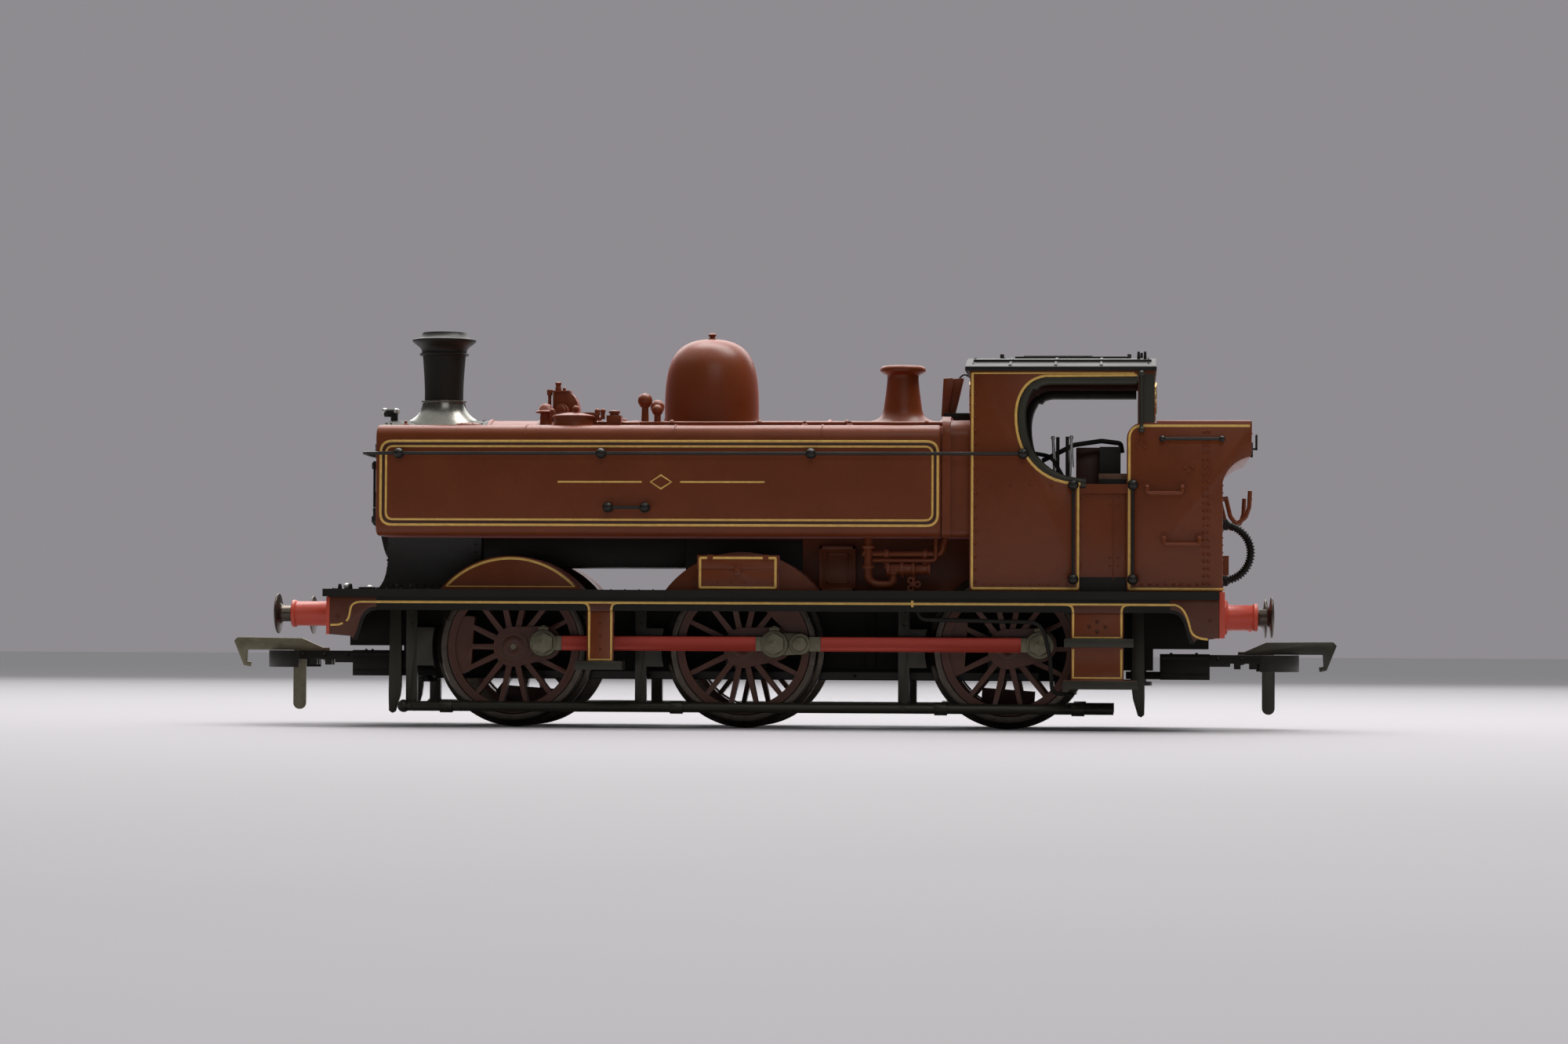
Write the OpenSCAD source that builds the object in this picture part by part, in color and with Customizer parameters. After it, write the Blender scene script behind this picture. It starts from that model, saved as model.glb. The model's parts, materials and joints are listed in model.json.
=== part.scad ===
// Model of a six-coupled pannier tank steam locomotive, in millimetres.
// Front is -X, left is -Y, up is +Z. The origin is under the middle, on the plane that the wheel flanges touch.

/* [Wheels] */
// Front axle to centre axle
wheelbase_front = 29.0; // [28.9:0.1:29.1]
// Centre axle to rear axle
wheelbase_rear = 33.0; // [32.9:0.1:33.1]
// Diameter of the tread
tread_d = 18.5; // [18.3:0.1:18.6]
// Diameter over the flange
flange_d = 20.0; // [19.8:0.1:20.1]
// Between the backs of the two wheels on an axle
back_to_back = 14.4; // [14.3:0.1:14.5]
// Axle centre to crankpin centre
throw = 4.0; // [3.9:0.1:4.0]
// Spokes in each wheel
spoke_count = 14; // [10:1:16]

/* [Body] */
// Top of the footplate
deck_z = 17.1; // [17.1:0.05:17.2]
// Half the width over the footplate
deck_half_w = 16.9; // [16.7:0.1:17.0]
// Outer face of the tanks, cab and bunker from the middle
side_y = 15.45; // [15.4:0.05:15.5]
// Thickness of the cab and bunker plates
sheet_t = 0.7; // [0.6:0.05:0.75]
// Height of the boiler centre
boiler_z = 30.0; // [30.0:0.05:30.1]
// Outer radius of the boiler
boiler_r = 8.9; // [8.8:0.05:8.95]
// Top of the tanks
tank_top = 37.65; // [37.5:0.05:37.7]
// Bottom of the tanks
tank_bottom = 23.75; // [23.6:0.05:23.9]

/* [Buffers and couplings] */
// Half the length over the coupling hooks
hook_tip_x = 70.36; // [70.3:0.01:70.4]
// Height of the buffer centres
buffer_z = 14.05; // [14.0:0.05:14.1]
// Buffer centres from the middle
buffer_y = 11.4; // [11.3:0.1:11.5]
// Radius of the buffer heads
buffer_head_r = 2.53; // [2.4:0.01:2.55]

/* [Hidden] */
$fn = 48;

// Paint and metal colours
paint = [0.36, 0.13, 0.09];
paint_black = [0.10, 0.10, 0.09];
signal_red = [0.78, 0.20, 0.15];
rod_red = [0.62, 0.11, 0.07];
metal = [0.62, 0.62, 0.60];
diecast = [0.42, 0.42, 0.42];
brass = [0.75, 0.60, 0.30];
nickel = [0.45, 0.44, 0.38];

// Axles, from front to rear
centre_x = -3.73;
front_x = centre_x - wheelbase_front;
rear_x = centre_x + wheelbase_rear;
axle_xs = [front_x, centre_x, rear_x];
axle_z = flange_d / 2;
axle_r = 1.5;
run_gap = 0.05;

// Wheels
wheel_in = back_to_back / 2;
wheel_out = wheel_in + 2.8;
flange_w = 0.8;
tyre_in_r = 8.3;
rim_in_r = 7.55;
hub_r = 2.5;
crank_boss_r = 2.1;
left_crank = 7;
right_crank = left_crank + 90;

// Coupling rods, by distance from the middle
pin_r = 0.75;
pin_gap = 0.08;
rod_in = wheel_out + 0.55;
rod_out = rod_in + 1.0;
bar_h = 1.6;
nut_out = rod_out + 0.5;
knuckle_dx = 3.2;
knuckle_r = 1.35;

// Gear train: worm, idler and axle gear
gear_module = 0.35;
drive_teeth = 20;
idler_teeth = 24;
mesh_gap = 0.1;
idler_z = axle_z + gear_module * (drive_teeth + idler_teeth) / 2 + mesh_gap;
worm_pitch_r = 1.9;
shaft_z = idler_z + gear_module * idler_teeth / 2 + worm_pitch_r + mesh_gap;
shaft_r = 0.75;

// Chassis
block_y = 6.0;
block_bottom = 7.4;
block_top = 16.3;
keeper_bottom = 6.0;
block_x = 47.3;
slot_half = 2.6;
bearing_in = 3.4;
pivot_x = 45.5;
pivot_r = 1.0;

// Footplate and ends
front_edge = -55.7;
rear_edge = 55.27;
deck_under = deck_z - 0.65;
band_under = deck_z - 0.95;
valance_y = 16.4;
valance_bottom = 14.5;
beam_bottom = 11.45;
front_beam_x = -55.3;
rear_beam_x = 55.97;
wheel_slot_half = 8.4;
well_x = [-10.5, 24.2];
well_y = 5.7;

// Boiler, tanks and cab
smokebox_front = -50.23;
smokebox_rear = -37.33;
tank_front = -49.4;
tank_rear = 21.11;
tank_in_y = 5.0;
tank_wall = 1.1;
fit_gap = 0.05;
boiler_rear = tank_rear + 0.09;
cab_front = 24.68;
cab_rear = 47.37;
door_edge = 38.17;
bunker_front = 43.96;
bunker_rear = 55.7;
bunker_top = 37.88;
eaves_z = 44.25;
roof_half_w = 15.95;
roof_r = 67.5;
roof_top = 46.7;
floor_z = 21.9;
splasher_r = [11.35, 11.9];
splasher_face = 13.0;

// Coupling, measured back from the hook tip
bar_top = 9.41;
bar_bottom = 8.3;

// ---- shapes used more than once ----

// A box between two corners
module box(x, y, z) {
  translate([x[0], y[0], z[0]]) cube([x[1] - x[0], y[1] - y[0], z[1] - z[0]]);
}

// Cylinders along each axis
module along_x(r, x, y = 0, z = 0) {
  translate([x[0], y, z]) rotate([0, 90, 0]) cylinder(r = r, h = x[1] - x[0]);
}
module along_y(r, y, x = 0, z = 0) {
  translate([x, y[1], z]) rotate([90, 0, 0]) cylinder(r = r, h = y[1] - y[0]);
}
module along_z(r, z, x = 0, y = 0) {
  translate([x, y, z[0]]) cylinder(r = r, h = z[1] - z[0]);
}

// A flat outline in X and Z, given thickness across the width
module slab_xz(y) {
  translate([0, y[1], 0]) rotate([90, 0, 0]) linear_extrude(y[1] - y[0]) children();
}

// A flat outline in Y and Z, drawn out along the length
module slab_yz(x) {
  translate([x[0], 0, 0]) rotate([90, 0, 90]) linear_extrude(x[1] - x[0]) children();
}

// The same thing on both sides
module both_sides() {
  children();
  mirror([0, 1, 0]) children();
}

// The same thing at both ends
module both_ends() {
  children();
  mirror([1, 0, 0]) children();
}

// Two circles and the straight flanks between them
module link(r1, r2, d) {
  a = asin((r1 - r2) / d);
  circle(r = r1);
  translate([d, 0]) circle(r = r2);
  polygon([
    [r1 * sin(a), r1 * cos(a)], [d + r2 * sin(a), r2 * cos(a)],
    [d + r2 * sin(a), -r2 * cos(a)], [r1 * sin(a), -r1 * cos(a)]
  ]);
}

// A rectangle with its own radius at the top and at the bottom
module soft_box(x, y, top_r, bottom_r) {
  difference() {
    translate([x[0], y[0]]) square([x[1] - x[0], y[1] - y[0]]);
    for (c = [[x[0], 1], [x[1], -1]]) {
      corner_cut([c[0], y[1]], [c[1], -1], top_r);
      corner_cut([c[0], y[0]], [c[1], 1], bottom_r);
    }
  }
}

// What rounding takes off one corner; way points into the shape
module corner_cut(at, way, r) {
  translate(at) scale([way[0], way[1]]) difference() {
    translate([-0.1, -0.1]) square(r + 0.1);
    translate([r, r]) circle(r = r);
  }
}

// A point on a cubic curve, and a run of them
function on_curve(p, t) =
  pow(1 - t, 3) * p[0] + 3 * pow(1 - t, 2) * t * p[1] + 3 * (1 - t) * t * t * p[2] + pow(t, 3) * p[3];
function curve(p, n = 10) = [for (i = [0:n]) on_curve(p, i / n)];

// A spur gear across the width
module spur_gear(teeth, width, x, z, turn) {
  pitch_r = gear_module * teeth / 2;
  tip_r = pitch_r + gear_module;
  root_r = pitch_r - 1.25 * gear_module;
  root_half = 0.20 * 360 / teeth;
  tip_half = 0.10 * 360 / teeth;
  translate([x, 0, z]) slab_xz([-width / 2, width / 2]) rotate(turn) union() {
    circle(r = root_r);
    for (i = [0:teeth - 1]) rotate(i * 360 / teeth) polygon([
      [(root_r - 0.1) * cos(root_half), (root_r - 0.1) * sin(root_half)],
      [tip_r * cos(tip_half), tip_r * sin(tip_half)],
      [tip_r * cos(tip_half), -tip_r * sin(tip_half)],
      [(root_r - 0.1) * cos(root_half), -(root_r - 0.1) * sin(root_half)]
    ]);
  }
}

// A round-headed knob on a stem that stands out of a side plate
module rail_knob(x, z, y) {
  translate([x, y, z]) sphere(r = 0.75, $fn = 20);
  along_y(0.24, [min(y, -side_y), max(y, -side_y)], x, z);
}

// ---- chassis and drive ----

module chassis_block() {
  color(diecast) difference() {
    union() {
      box([-block_x, block_x], [-block_y, block_y], [block_bottom, block_top]);
      both_ends() box([-54.2, -block_x + 1], [-block_y, block_y], [10.1, block_top]);
      both_sides() box([centre_x - 3, centre_x + 3], [1.9, 4.2], [block_top - 1, idler_z + 2]);
      box([3.4, 18.5], [-4.2, 4.2], [block_top - 1, shaft_z - 6.4]);
    }
    for (x = axle_xs)
      box([x - slot_half, x + slot_half], [-block_y - 1, block_y + 1], [block_bottom - 1, 12.6]);
    box([centre_x - 4.8, centre_x + 4.8], [-1.9, 1.9], [block_bottom - 1, block_top + 1]);
    along_y(shaft_r + run_gap, [-5, 5], centre_x, idler_z);
    along_x(6.42, [0, 30], 0, shaft_z);
    both_ends() along_z(pivot_r, [block_bottom - 1, 9.6], -pivot_x);
    both_ends() along_z(0.8, [block_bottom - 1, block_top + 1], -41);
    for (x = [-20, 12]) along_z(0.6, [block_bottom - 1, 10], x);
  }
}

module keeper_plate() {
  color(paint_black) difference() {
    box([-43.2, 43.2], [-block_y, block_y], [keeper_bottom, block_bottom - 0.02]);
    box([centre_x - 4.2, centre_x + 4.2], [-1.9, 1.9], [keeper_bottom - 1, block_bottom + 1]);
    both_ends() along_z(0.8, [keeper_bottom - 1, block_bottom + 1], -41);
    for (x = [-20, 12]) along_z(0.6, [keeper_bottom - 1, block_bottom + 1], x);
    // The screw heads are sunk below the face
    both_ends() along_z(1.45, [keeper_bottom - 1, keeper_bottom + 0.6], -41);
    for (x = [-20, 12]) along_z(1.25, [keeper_bottom - 1, keeper_bottom + 0.6], x);
  }
}

module axle_bearings() {
  color(brass) for (x = axle_xs) both_sides() difference() {
    box([x - slot_half + 0.02, x + slot_half - 0.02], [-block_y, -bearing_in], [7.42, 12.58]);
    along_y(axle_r + run_gap, [-block_y - 1, -bearing_in + 1], x, axle_z);
  }
}

// A slotted screw that stands head down
module screw(x, head_r, shank_r, head_z, top) {
  difference() {
    union() {
      along_z(head_r, [head_z, head_z + 0.5], x);
      along_z(shank_r, [head_z + 0.4, top], x);
    }
    box([x - head_r, x + head_r], [-0.15, 0.15], [head_z - 0.1, head_z + 0.2]);
  }
}

module chassis_screws() {
  color(metal) {
    both_ends() screw(-41, 1.3, 0.78, keeper_bottom + 0.06, deck_under - 0.02);
    both_ends() screw(-pivot_x, 1.7, pivot_r - 0.01, keeper_bottom - 0.5, 9.5);
    for (x = [-20, 12]) screw(x, 1.1, 0.58, keeper_bottom + 0.06, 9.9);
  }
}

module motor() {
  can = [3.4, 18.5];
  color(metal) difference() {
    union() {
      intersection() {
        along_x(6.4, can, 0, shaft_z);
        box(can, [-5.0, 5.0], [shaft_z - 7, shaft_z + 7]);
      }
      along_x(1.9, [can[0] - 0.8, can[1] + 0.8], 0, shaft_z);
    }
    along_x(4.2, [can[0] + 1, can[1] - 1], 0, shaft_z);
    along_x(shaft_r + 0.03, [0, 24], 0, shaft_z);
  }
}

module pickup_strips() {
  color(brass) both_sides() {
    difference() {
      box([-36, 33], [-6.25, -6.05], [6.1, 7.0]);
      for (x = [-16, 10]) along_y(0.2, [-7, -5], x, 6.55);
    }
    for (x = axle_xs) box([x - 0.4, x + 0.4], [-7.1, -6.24], [6.1, 6.4]);
  }
}

module circuit_board() {
  color([0.10, 0.35, 0.18]) {
    box([-34, -13], [-6.8, 6.8], [26.0, 26.8]);
    box([-30, -22], [-3.5, 3.5], [26.8, 28.6]);
    for (x = [-18, -16]) box([x, x + 1], [-4, 4], [26.8, 28.2]);
  }
}

module drive_gear() {
  color(brass) difference() {
    union() {
      spur_gear(drive_teeth, 3.0, centre_x, axle_z, 90);
      along_y(2.4, [-1.7, 1.7], centre_x, axle_z);
    }
    along_y(axle_r, [-2, 2], centre_x, axle_z);
  }
}

module idler_gear() {
  color([0.85, 0.83, 0.75]) {
    spur_gear(idler_teeth, 3.0, centre_x, idler_z, -90 + 180 / idler_teeth);
    along_y(shaft_r, [-4.1, 4.1], centre_x, idler_z);
  }
}

module worm_shaft() {
  lead = PI * gear_module;
  turns = 6;
  depth = 0.4;
  // Half way along, the thread points straight down into a gap of the idler
  phase = -180 * turns;
  color(brass) {
    translate([centre_x - turns * lead / 2, 0, shaft_z]) rotate([0, 90, 0])
      linear_extrude(turns * lead, twist = -360 * turns, slices = turns * 8, segments = 10)
        rotate(phase) translate([depth, 0]) circle(r = worm_pitch_r - 0.2, $fn = 10);
    along_x(shaft_r, [-9.0, 20.5], 0, shaft_z);
    along_x(2.8, [7, 15], 0, shaft_z);
  }
}

// ---- wheels ----

// An outline turned to stand in the X and Z plane on one axle
module on_axle(x, y) {
  translate([x, 0, axle_z]) slab_xz(y) children();
}

module axle_set(x) {
  color(metal) {
    along_y(axle_r, [-wheel_out, wheel_out], x, axle_z);
    crankpin(x, left_crank, -1);
    crankpin(x, right_crank, 1);
  }
}

module crankpin(x, turn, side) {
  at = [x + throw * cos(turn), axle_z + throw * sin(turn)];
  ends = [wheel_out - 1.2, rod_out + 0.1];
  cap = [rod_out + 0.05, nut_out];
  along_y(pin_r, side < 0 ? [-ends[1], -ends[0]] : ends, at[0], at[1]);
  along_y(1.2, side < 0 ? [-cap[1], -cap[0]] : cap, at[0], at[1]);
}

// One wheel centre: rim, spokes, hub with its crank boss, and balance weight
module wheel_centre(x, turn, weight_turn, side) {
  function span(a, b) = side < 0 ? [-b, -a] : [a, b];
  difference() {
    union() {
      on_axle(x, span(wheel_in, wheel_out - 0.1)) difference() {
        circle(r = tyre_in_r);
        circle(r = rim_in_r);
      }
      on_axle(x, span(wheel_in, wheel_out + 0.05)) rotate(turn) link(hub_r, crank_boss_r, throw);
      on_axle(x, span(wheel_in + 0.9, wheel_out - 0.3)) intersection() {
        circle(r = rim_in_r + 0.2);
        union() {
          for (i = [0:spoke_count - 1]) rotate(90 + (i + 0.5) * 360 / spoke_count)
            polygon([[0, 0.42], [rim_in_r + 0.3, 0.26], [rim_in_r + 0.3, -0.26], [0, -0.42]]);
          rotate(weight_turn) translate([5.2, -3.4]) square([3, 6.8]);
        }
      }
    }
    along_y(axle_r, [-12, 12], x, axle_z);
    along_y(pin_r, [-12, 12], x + throw * cos(turn), axle_z + throw * sin(turn));
  }
}

module wheel_pair(x, weight_turn) {
  color(paint) {
    wheel_centre(x, left_crank, weight_turn, -1);
    wheel_centre(x, right_crank, weight_turn + 90, 1);
  }
}

module tyre_pair(x) {
  color([0.20, 0.18, 0.16]) both_sides() translate([x, -wheel_in, axle_z]) rotate([90, 0, 0])
    rotate_extrude() polygon([
      [tyre_in_r, 0], [flange_d / 2, 0.15], [flange_d / 2, flange_w - 0.25], [tread_d / 2, flange_w],
      [tread_d / 2 - 0.05, wheel_out - wheel_in], [tyre_in_r, wheel_out - wheel_in]
    ]);
}

module front_axle() { axle_set(front_x); }
module centre_axle() { axle_set(centre_x); }
module rear_axle() { axle_set(rear_x); }
module front_wheels() { wheel_pair(front_x, 176); }
module centre_wheels() { wheel_pair(centre_x, 44); }
module rear_wheels() { wheel_pair(rear_x, 176); }
module front_tyres() { tyre_pair(front_x); }
module centre_tyres() { tyre_pair(centre_x); }
module rear_tyres() { tyre_pair(rear_x); }

// ---- coupling rods ----

// A rod end with the oil cup on top
module rod_end(r) {
  circle(r = r);
  translate([-0.55, 0]) square([1.1, r + 0.55]);
}

// The front section reaches from the front crankpin to the knuckle behind the centre one
module front_rod(turn, side) {
  function span(a, b) = side < 0 ? [-b, -a] : [a, b];
  at = [centre_x + throw * cos(turn), axle_z + throw * sin(turn)];
  mid = (rod_in + rod_out) / 2;
  color(rod_red) translate([at[0], 0, at[1]]) {
    difference() {
      union() {
        slab_xz(span(rod_in, rod_out)) {
          rod_end(1.75);
          translate([-wheelbase_front, 0]) rod_end(1.7);
        }
        slab_xz(span(rod_in + 0.2, rod_out - 0.2))
          translate([-wheelbase_front, -bar_h / 2]) square([wheelbase_front, bar_h]);
        slab_xz(span(rod_in, mid - 0.04)) link(1.7, knuckle_r, knuckle_dx);
      }
      along_y(pin_r + pin_gap, [-14, 14], 0, 0);
      along_y(pin_r + pin_gap, [-14, 14], -wheelbase_front, 0);
      // Room for the eye of the rear section
      slab_xz(span(mid - 0.04, rod_out + 1)) translate([knuckle_dx, 0]) circle(r = knuckle_r + 0.15);
    }
    along_y(0.6, span(mid - 0.2, rod_out + 0.1), knuckle_dx, 0);
    along_y(0.95, span(rod_out + 0.05, nut_out), knuckle_dx, 0);
  }
}

// The rear section reaches from the knuckle to the rear crankpin
module rear_rod(turn, side) {
  function span(a, b) = side < 0 ? [-b, -a] : [a, b];
  at = [rear_x + throw * cos(turn), axle_z + throw * sin(turn)];
  mid = (rod_in + rod_out) / 2;
  reach = wheelbase_rear - knuckle_dx;
  color(rod_red) translate([at[0], 0, at[1]]) difference() {
    union() {
      slab_xz(span(rod_in, rod_out)) rod_end(1.75);
      slab_xz(span(rod_in + 0.2, rod_out - 0.2))
        translate([-reach + knuckle_r + 0.3, -bar_h / 2]) square([reach - knuckle_r - 0.3, bar_h]);
      slab_xz(span(mid + 0.04, rod_out)) translate([-reach, 0]) link(knuckle_r, bar_h / 2 + 0.12, 3);
    }
    along_y(pin_r + pin_gap, [-14, 14], 0, 0);
    along_y(0.6 + pin_gap, [-14, 14], -reach, 0);
  }
}

module left_front_rod() { front_rod(left_crank, -1); }
module left_rear_rod() { rear_rod(left_crank, -1); }
module right_front_rod() { front_rod(right_crank, 1); }
module right_rear_rod() { rear_rod(right_crank, 1); }

// ---- footplate and ends ----

// The valance plate at one end, seen from the side; x runs inward from the beam
function end_plate(top) = concat(
  [[0, top], [0, beam_bottom], [2.6, beam_bottom - 0.2], [3.0, 10.75], [3.5, 10.75]],
  curve([[3.5, 10.75], [4.3, 12.6], [4.0, valance_bottom], [6.0, valance_bottom]], 6),
  [[6.0, top]]
);

module footplate() {
  slot_y = [wheel_in - 0.5, wheel_out + 0.5];
  color(paint_black) {
    difference() {
      union() {
        box([front_edge, rear_edge], [-deck_half_w, deck_half_w], [deck_under, deck_z]);
        both_sides() box([front_edge, rear_edge], [-deck_half_w, -valance_y + 0.55], [band_under, deck_z]);
      }
      for (x = axle_xs) both_sides()
        box([x - wheel_slot_half, x + wheel_slot_half], slot_y, [deck_under - 1, deck_z + 1]);
      box(well_x, [-well_y, well_y], [deck_under - 1, deck_z + 1]);
    }
    both_sides() {
      box([-50, 50], [-valance_y, -valance_y + 0.55], [valance_bottom, band_under + 0.05]);
      slab_xz([-valance_y, -valance_y + 0.55]) {
        translate([front_beam_x + 0.45, 0]) polygon(end_plate(band_under + 0.05));
        translate([rear_beam_x - 0.75, 0]) mirror([1, 0]) polygon(end_plate(band_under + 0.05));
      }
    }
  }
}

module buffer_beams() {
  color(signal_red) {
    end_beam(front_beam_x, front_beam_x + 0.43, deck_under - 0.05);
    end_beam(rear_beam_x - 0.68, rear_beam_x, deck_z);
  }
}

module end_beam(x0, x1, top) {
  difference() {
    box([x0, x1], [-valance_y, valance_y], [beam_bottom, top]);
    both_sides() along_x(1.05, [x0 - 1, x1 + 1], -buffer_y, buffer_z);
    // The front beam is notched for the edges of the footplate
    if (top < deck_z) both_sides()
      box([x0 - 1, x1 + 1], [-20, 0.5 - valance_y + 0.1], [band_under - 0.05, deck_z]);
    // Slot for the coupling chain hook
    box([x0 - 1, x1 + 1], [-0.4, 0.4], [buffer_z - 0.6, buffer_z + 0.9]);
  }
}

// One buffer housing at the front left, open right through for the ram
module buffer_housing(face, tip) {
  difference() {
    union() {
      along_x(1.52, [tip, face], -buffer_y, buffer_z);
      along_x(1.68, [tip, tip + 0.35], -buffer_y, buffer_z);
      along_x(2.1, [face - 0.35, face], -buffer_y, buffer_z);
    }
    along_x(1.05, [tip - 1, face + 1], -buffer_y, buffer_z);
  }
}

module buffer_housings() {
  color(signal_red) both_sides() {
    buffer_housing(front_beam_x, -60.5);
    mirror([1, 0, 0]) buffer_housing(-rear_beam_x, -60.1);
  }
}

// One sprung head, in the place of the front left one
module buffer_head(face) {
  color(paint_black) {
    translate([face, -buffer_y, buffer_z]) rotate([0, 90, 0]) rotate_extrude() polygon([
      [0, 0], [1.3, 0.04], [buffer_head_r - 0.1, 0.22], [buffer_head_r, 0.34], [buffer_head_r - 0.1, 0.46],
      [1.2, 0.6], [0, 0.6]
    ]);
    along_x(1.0, [face + 0.5, face + 5.2], -buffer_y, buffer_z);
  }
}

front_head_x = -62.66;
rear_head_x = -62.15;
module front_left_buffer() { buffer_head(front_head_x); }
module front_right_buffer() { mirror([0, 1, 0]) buffer_head(front_head_x); }
module rear_left_buffer() { mirror([1, 0, 0]) buffer_head(rear_head_x); }
module rear_right_buffer() { mirror([1, 0, 0]) mirror([0, 1, 0]) buffer_head(rear_head_x); }

// A close-wound spring as touching rings behind each ram
module spring_coil(x) {
  for (i = [0:3]) translate([x + 0.2 + i * 0.38, -buffer_y, buffer_z]) rotate([0, 90, 0])
    rotate_extrude() translate([0.72, 0]) circle(r = 0.2, $fn = 16);
}

module buffer_springs() {
  color(metal) both_sides() {
    spring_coil(front_head_x + 5.22);
    mirror([1, 0, 0]) spring_coil(rear_head_x + 5.22);
  }
}

// ---- boiler, smokebox and tanks ----

module smokebox() {
  color(paint_black) difference() {
    union() {
      along_x(boiler_r, [smokebox_front, smokebox_rear], 0, boiler_z);
      box([smokebox_front + 0.9, smokebox_rear], [-6.65, 6.65], [deck_z + 0.02, boiler_z - 4]);
      // The foot spreads out on to the footplate at the front
      slab_xz([-6.65, 6.65]) polygon(concat(
        [[smokebox_front + 1, deck_z + 0.02]],
        curve([[smokebox_front - 0.6, deck_z + 0.02], [smokebox_front + 0.7, 18.0],
               [smokebox_front + 0.9, 20], [smokebox_front + 0.9, 22]], 6),
        [[smokebox_front + 1, 22]]
      ));
    }
    along_x(boiler_r - 1, [smokebox_front + 1.5, smokebox_rear + 1], 0, boiler_z);
    box([-47, smokebox_rear + 1], [-5.6, 5.6], [deck_z - 1, boiler_z]);
  }
}

module smokebox_door() {
  face = smokebox_front - 0.02;
  color(paint_black) {
    translate([face, 0, boiler_z - 0.6]) rotate([0, -90, 0]) rotate_extrude() polygon(concat(
      [[0, 0], [7.3, 0], [7.3, 0.35], [6.8, 0.4]],
      curve([[6.6, 0.45], [4.5, 1.05], [2, 1.3], [0, 1.3]], 6)
    ));
    along_x(0.55, [face - 1.9, face - 1.2], 0, boiler_z - 0.6);
    box([face - 2.2, face - 1.85], [-0.22, 0.22], [boiler_z - 4.2, boiler_z]);
    // Two hinge straps from the left edge
    for (z = [3.4, -3.4])
      box([face - 1.15, face - 0.1], [-7.4, 2], [boiler_z - 0.6 + z - 0.3, boiler_z - 0.6 + z + 0.3]);
  }
}

module boiler() {
  color(paint) {
    difference() {
      union() {
        along_x(boiler_r, [smokebox_rear + 0.02, boiler_rear], 0, boiler_z);
        // Weight under the barrel, ahead of the gears
        box([smokebox_rear + 0.03, -11.32], [-6.2, 6.2], [20.2, 23.7]);
      }
      along_x(boiler_r - 1, [smokebox_rear - 1, boiler_rear + 1], 0, boiler_z);
      box([-11, boiler_rear + 1], [-5.75, 5.75], [0, boiler_z]);
    }
    // Ledges that carry the circuit board
    both_sides() intersection() {
      box([-35, -12], [-7.2, -5.9], [25.2, 25.98]);
      along_x(boiler_r - 0.5, [-36, -11], 0, boiler_z);
    }
  }
}

module firebox() {
  color(paint) {
    // Lower casing round the motor and gears
    difference() {
      box([-11.3, cab_front - 0.02], [-6.65, 6.65], [deck_z + 0.02, tank_bottom - 0.05]);
      box([-10.4, 24], [-5.65, 5.65], [deck_z - 1, tank_bottom + 1]);
      along_x(boiler_r + fit_gap, [-12, 22], 0, boiler_z);
    }
    // Casing between the tanks and the cab
    difference() {
      union() {
        slab_yz([tank_rear + 0.12, tank_rear + 1.15])
          soft_box([-15.2, 15.2], [tank_bottom, 38.75], 2.4, 0.8);
        slab_yz([tank_rear + 1.1, cab_front - 0.02])
          soft_box([-14.6, 14.6], [tank_bottom, 38.3], 2.2, 0.8);
      }
      box([0, cab_front - 0.7], [-5.65, 5.65], [0, 36]);
    }
  }
}

module tank(side) {
  color(paint) scale([1, side, 1]) difference() {
    intersection() {
      slab_yz([tank_front, tank_rear])
        soft_box([tank_in_y, side_y], [tank_bottom, tank_top], 1.85, 1.3);
      // Rounded corners seen from above
      linear_extrude(60) difference() {
        translate([tank_front, 0]) square([tank_rear - tank_front, 20]);
        corner_cut([tank_rear, side_y], [-1, -1], 1.9);
        corner_cut([tank_front, side_y], [1, -1], 0.5);
      }
    }
    along_x(boiler_r + fit_gap, [tank_front - 1, tank_rear + 1], 0, boiler_z);
    box([tank_front - 1, smokebox_rear + fit_gap], [0, 6.7], [tank_bottom - 1, boiler_z - 3.95]);
    box([tank_front + tank_wall, tank_rear - tank_wall], [0, side_y - tank_wall],
        [tank_bottom + tank_wall, tank_top - tank_wall]);
  }
}

module left_tank() { tank(-1); }
module right_tank() { tank(1); }

// A turned fitting that sits on the boiler barrel
module on_barrel(x) {
  difference() {
    translate([x, 0, 0]) rotate_extrude() children();
    along_x(boiler_r + 0.02, [-60, 60], 0, boiler_z);
  }
}

chimney_x = -43.38;
module chimney() {
  color(paint_black) on_barrel(chimney_x) difference() {
    polygon(concat(
      [[0, tank_top + 0.03], [4.6, tank_top + 0.03], [4.5, 38.6]],
      curve([[4.3, 39.4], [3.2, 39.9], [2.75, 40.4], [2.7, 41.15]], 6),
      [[2.95, 41.2], [2.95, 41.5], [2.5, 41.6], [2.75, 47.2], [3.1, 47.3], [3.1, 47.55], [2.85, 47.65],
       [3.0, 48.05], [3.6, 48.8], [4.07, 49.1], [4.07, 49.3], [3.2, 49.55], [2.75, 50.22], [0, 50.22]]
    ));
    translate([-0.1, 42]) square([2.1, 9]);
  }
}

dome_x = -8.83;
module dome() {
  color(paint) on_barrel(dome_x) {
    polygon(concat(
      [[0, tank_top + 0.03], [6.35, tank_top + 0.03], [6.0, 38.6]],
      curve([[6.0, 43.6], [5.95, 46.8], [3.3, 49.25], [0.5, 49.3]], 12),
      [[0.5, 49.7], [0, 49.7]]
    ));
    intersection() {
      translate([0, 49.65]) circle(r = 0.5);
      square([2, 60]);
    }
  }
}

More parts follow.
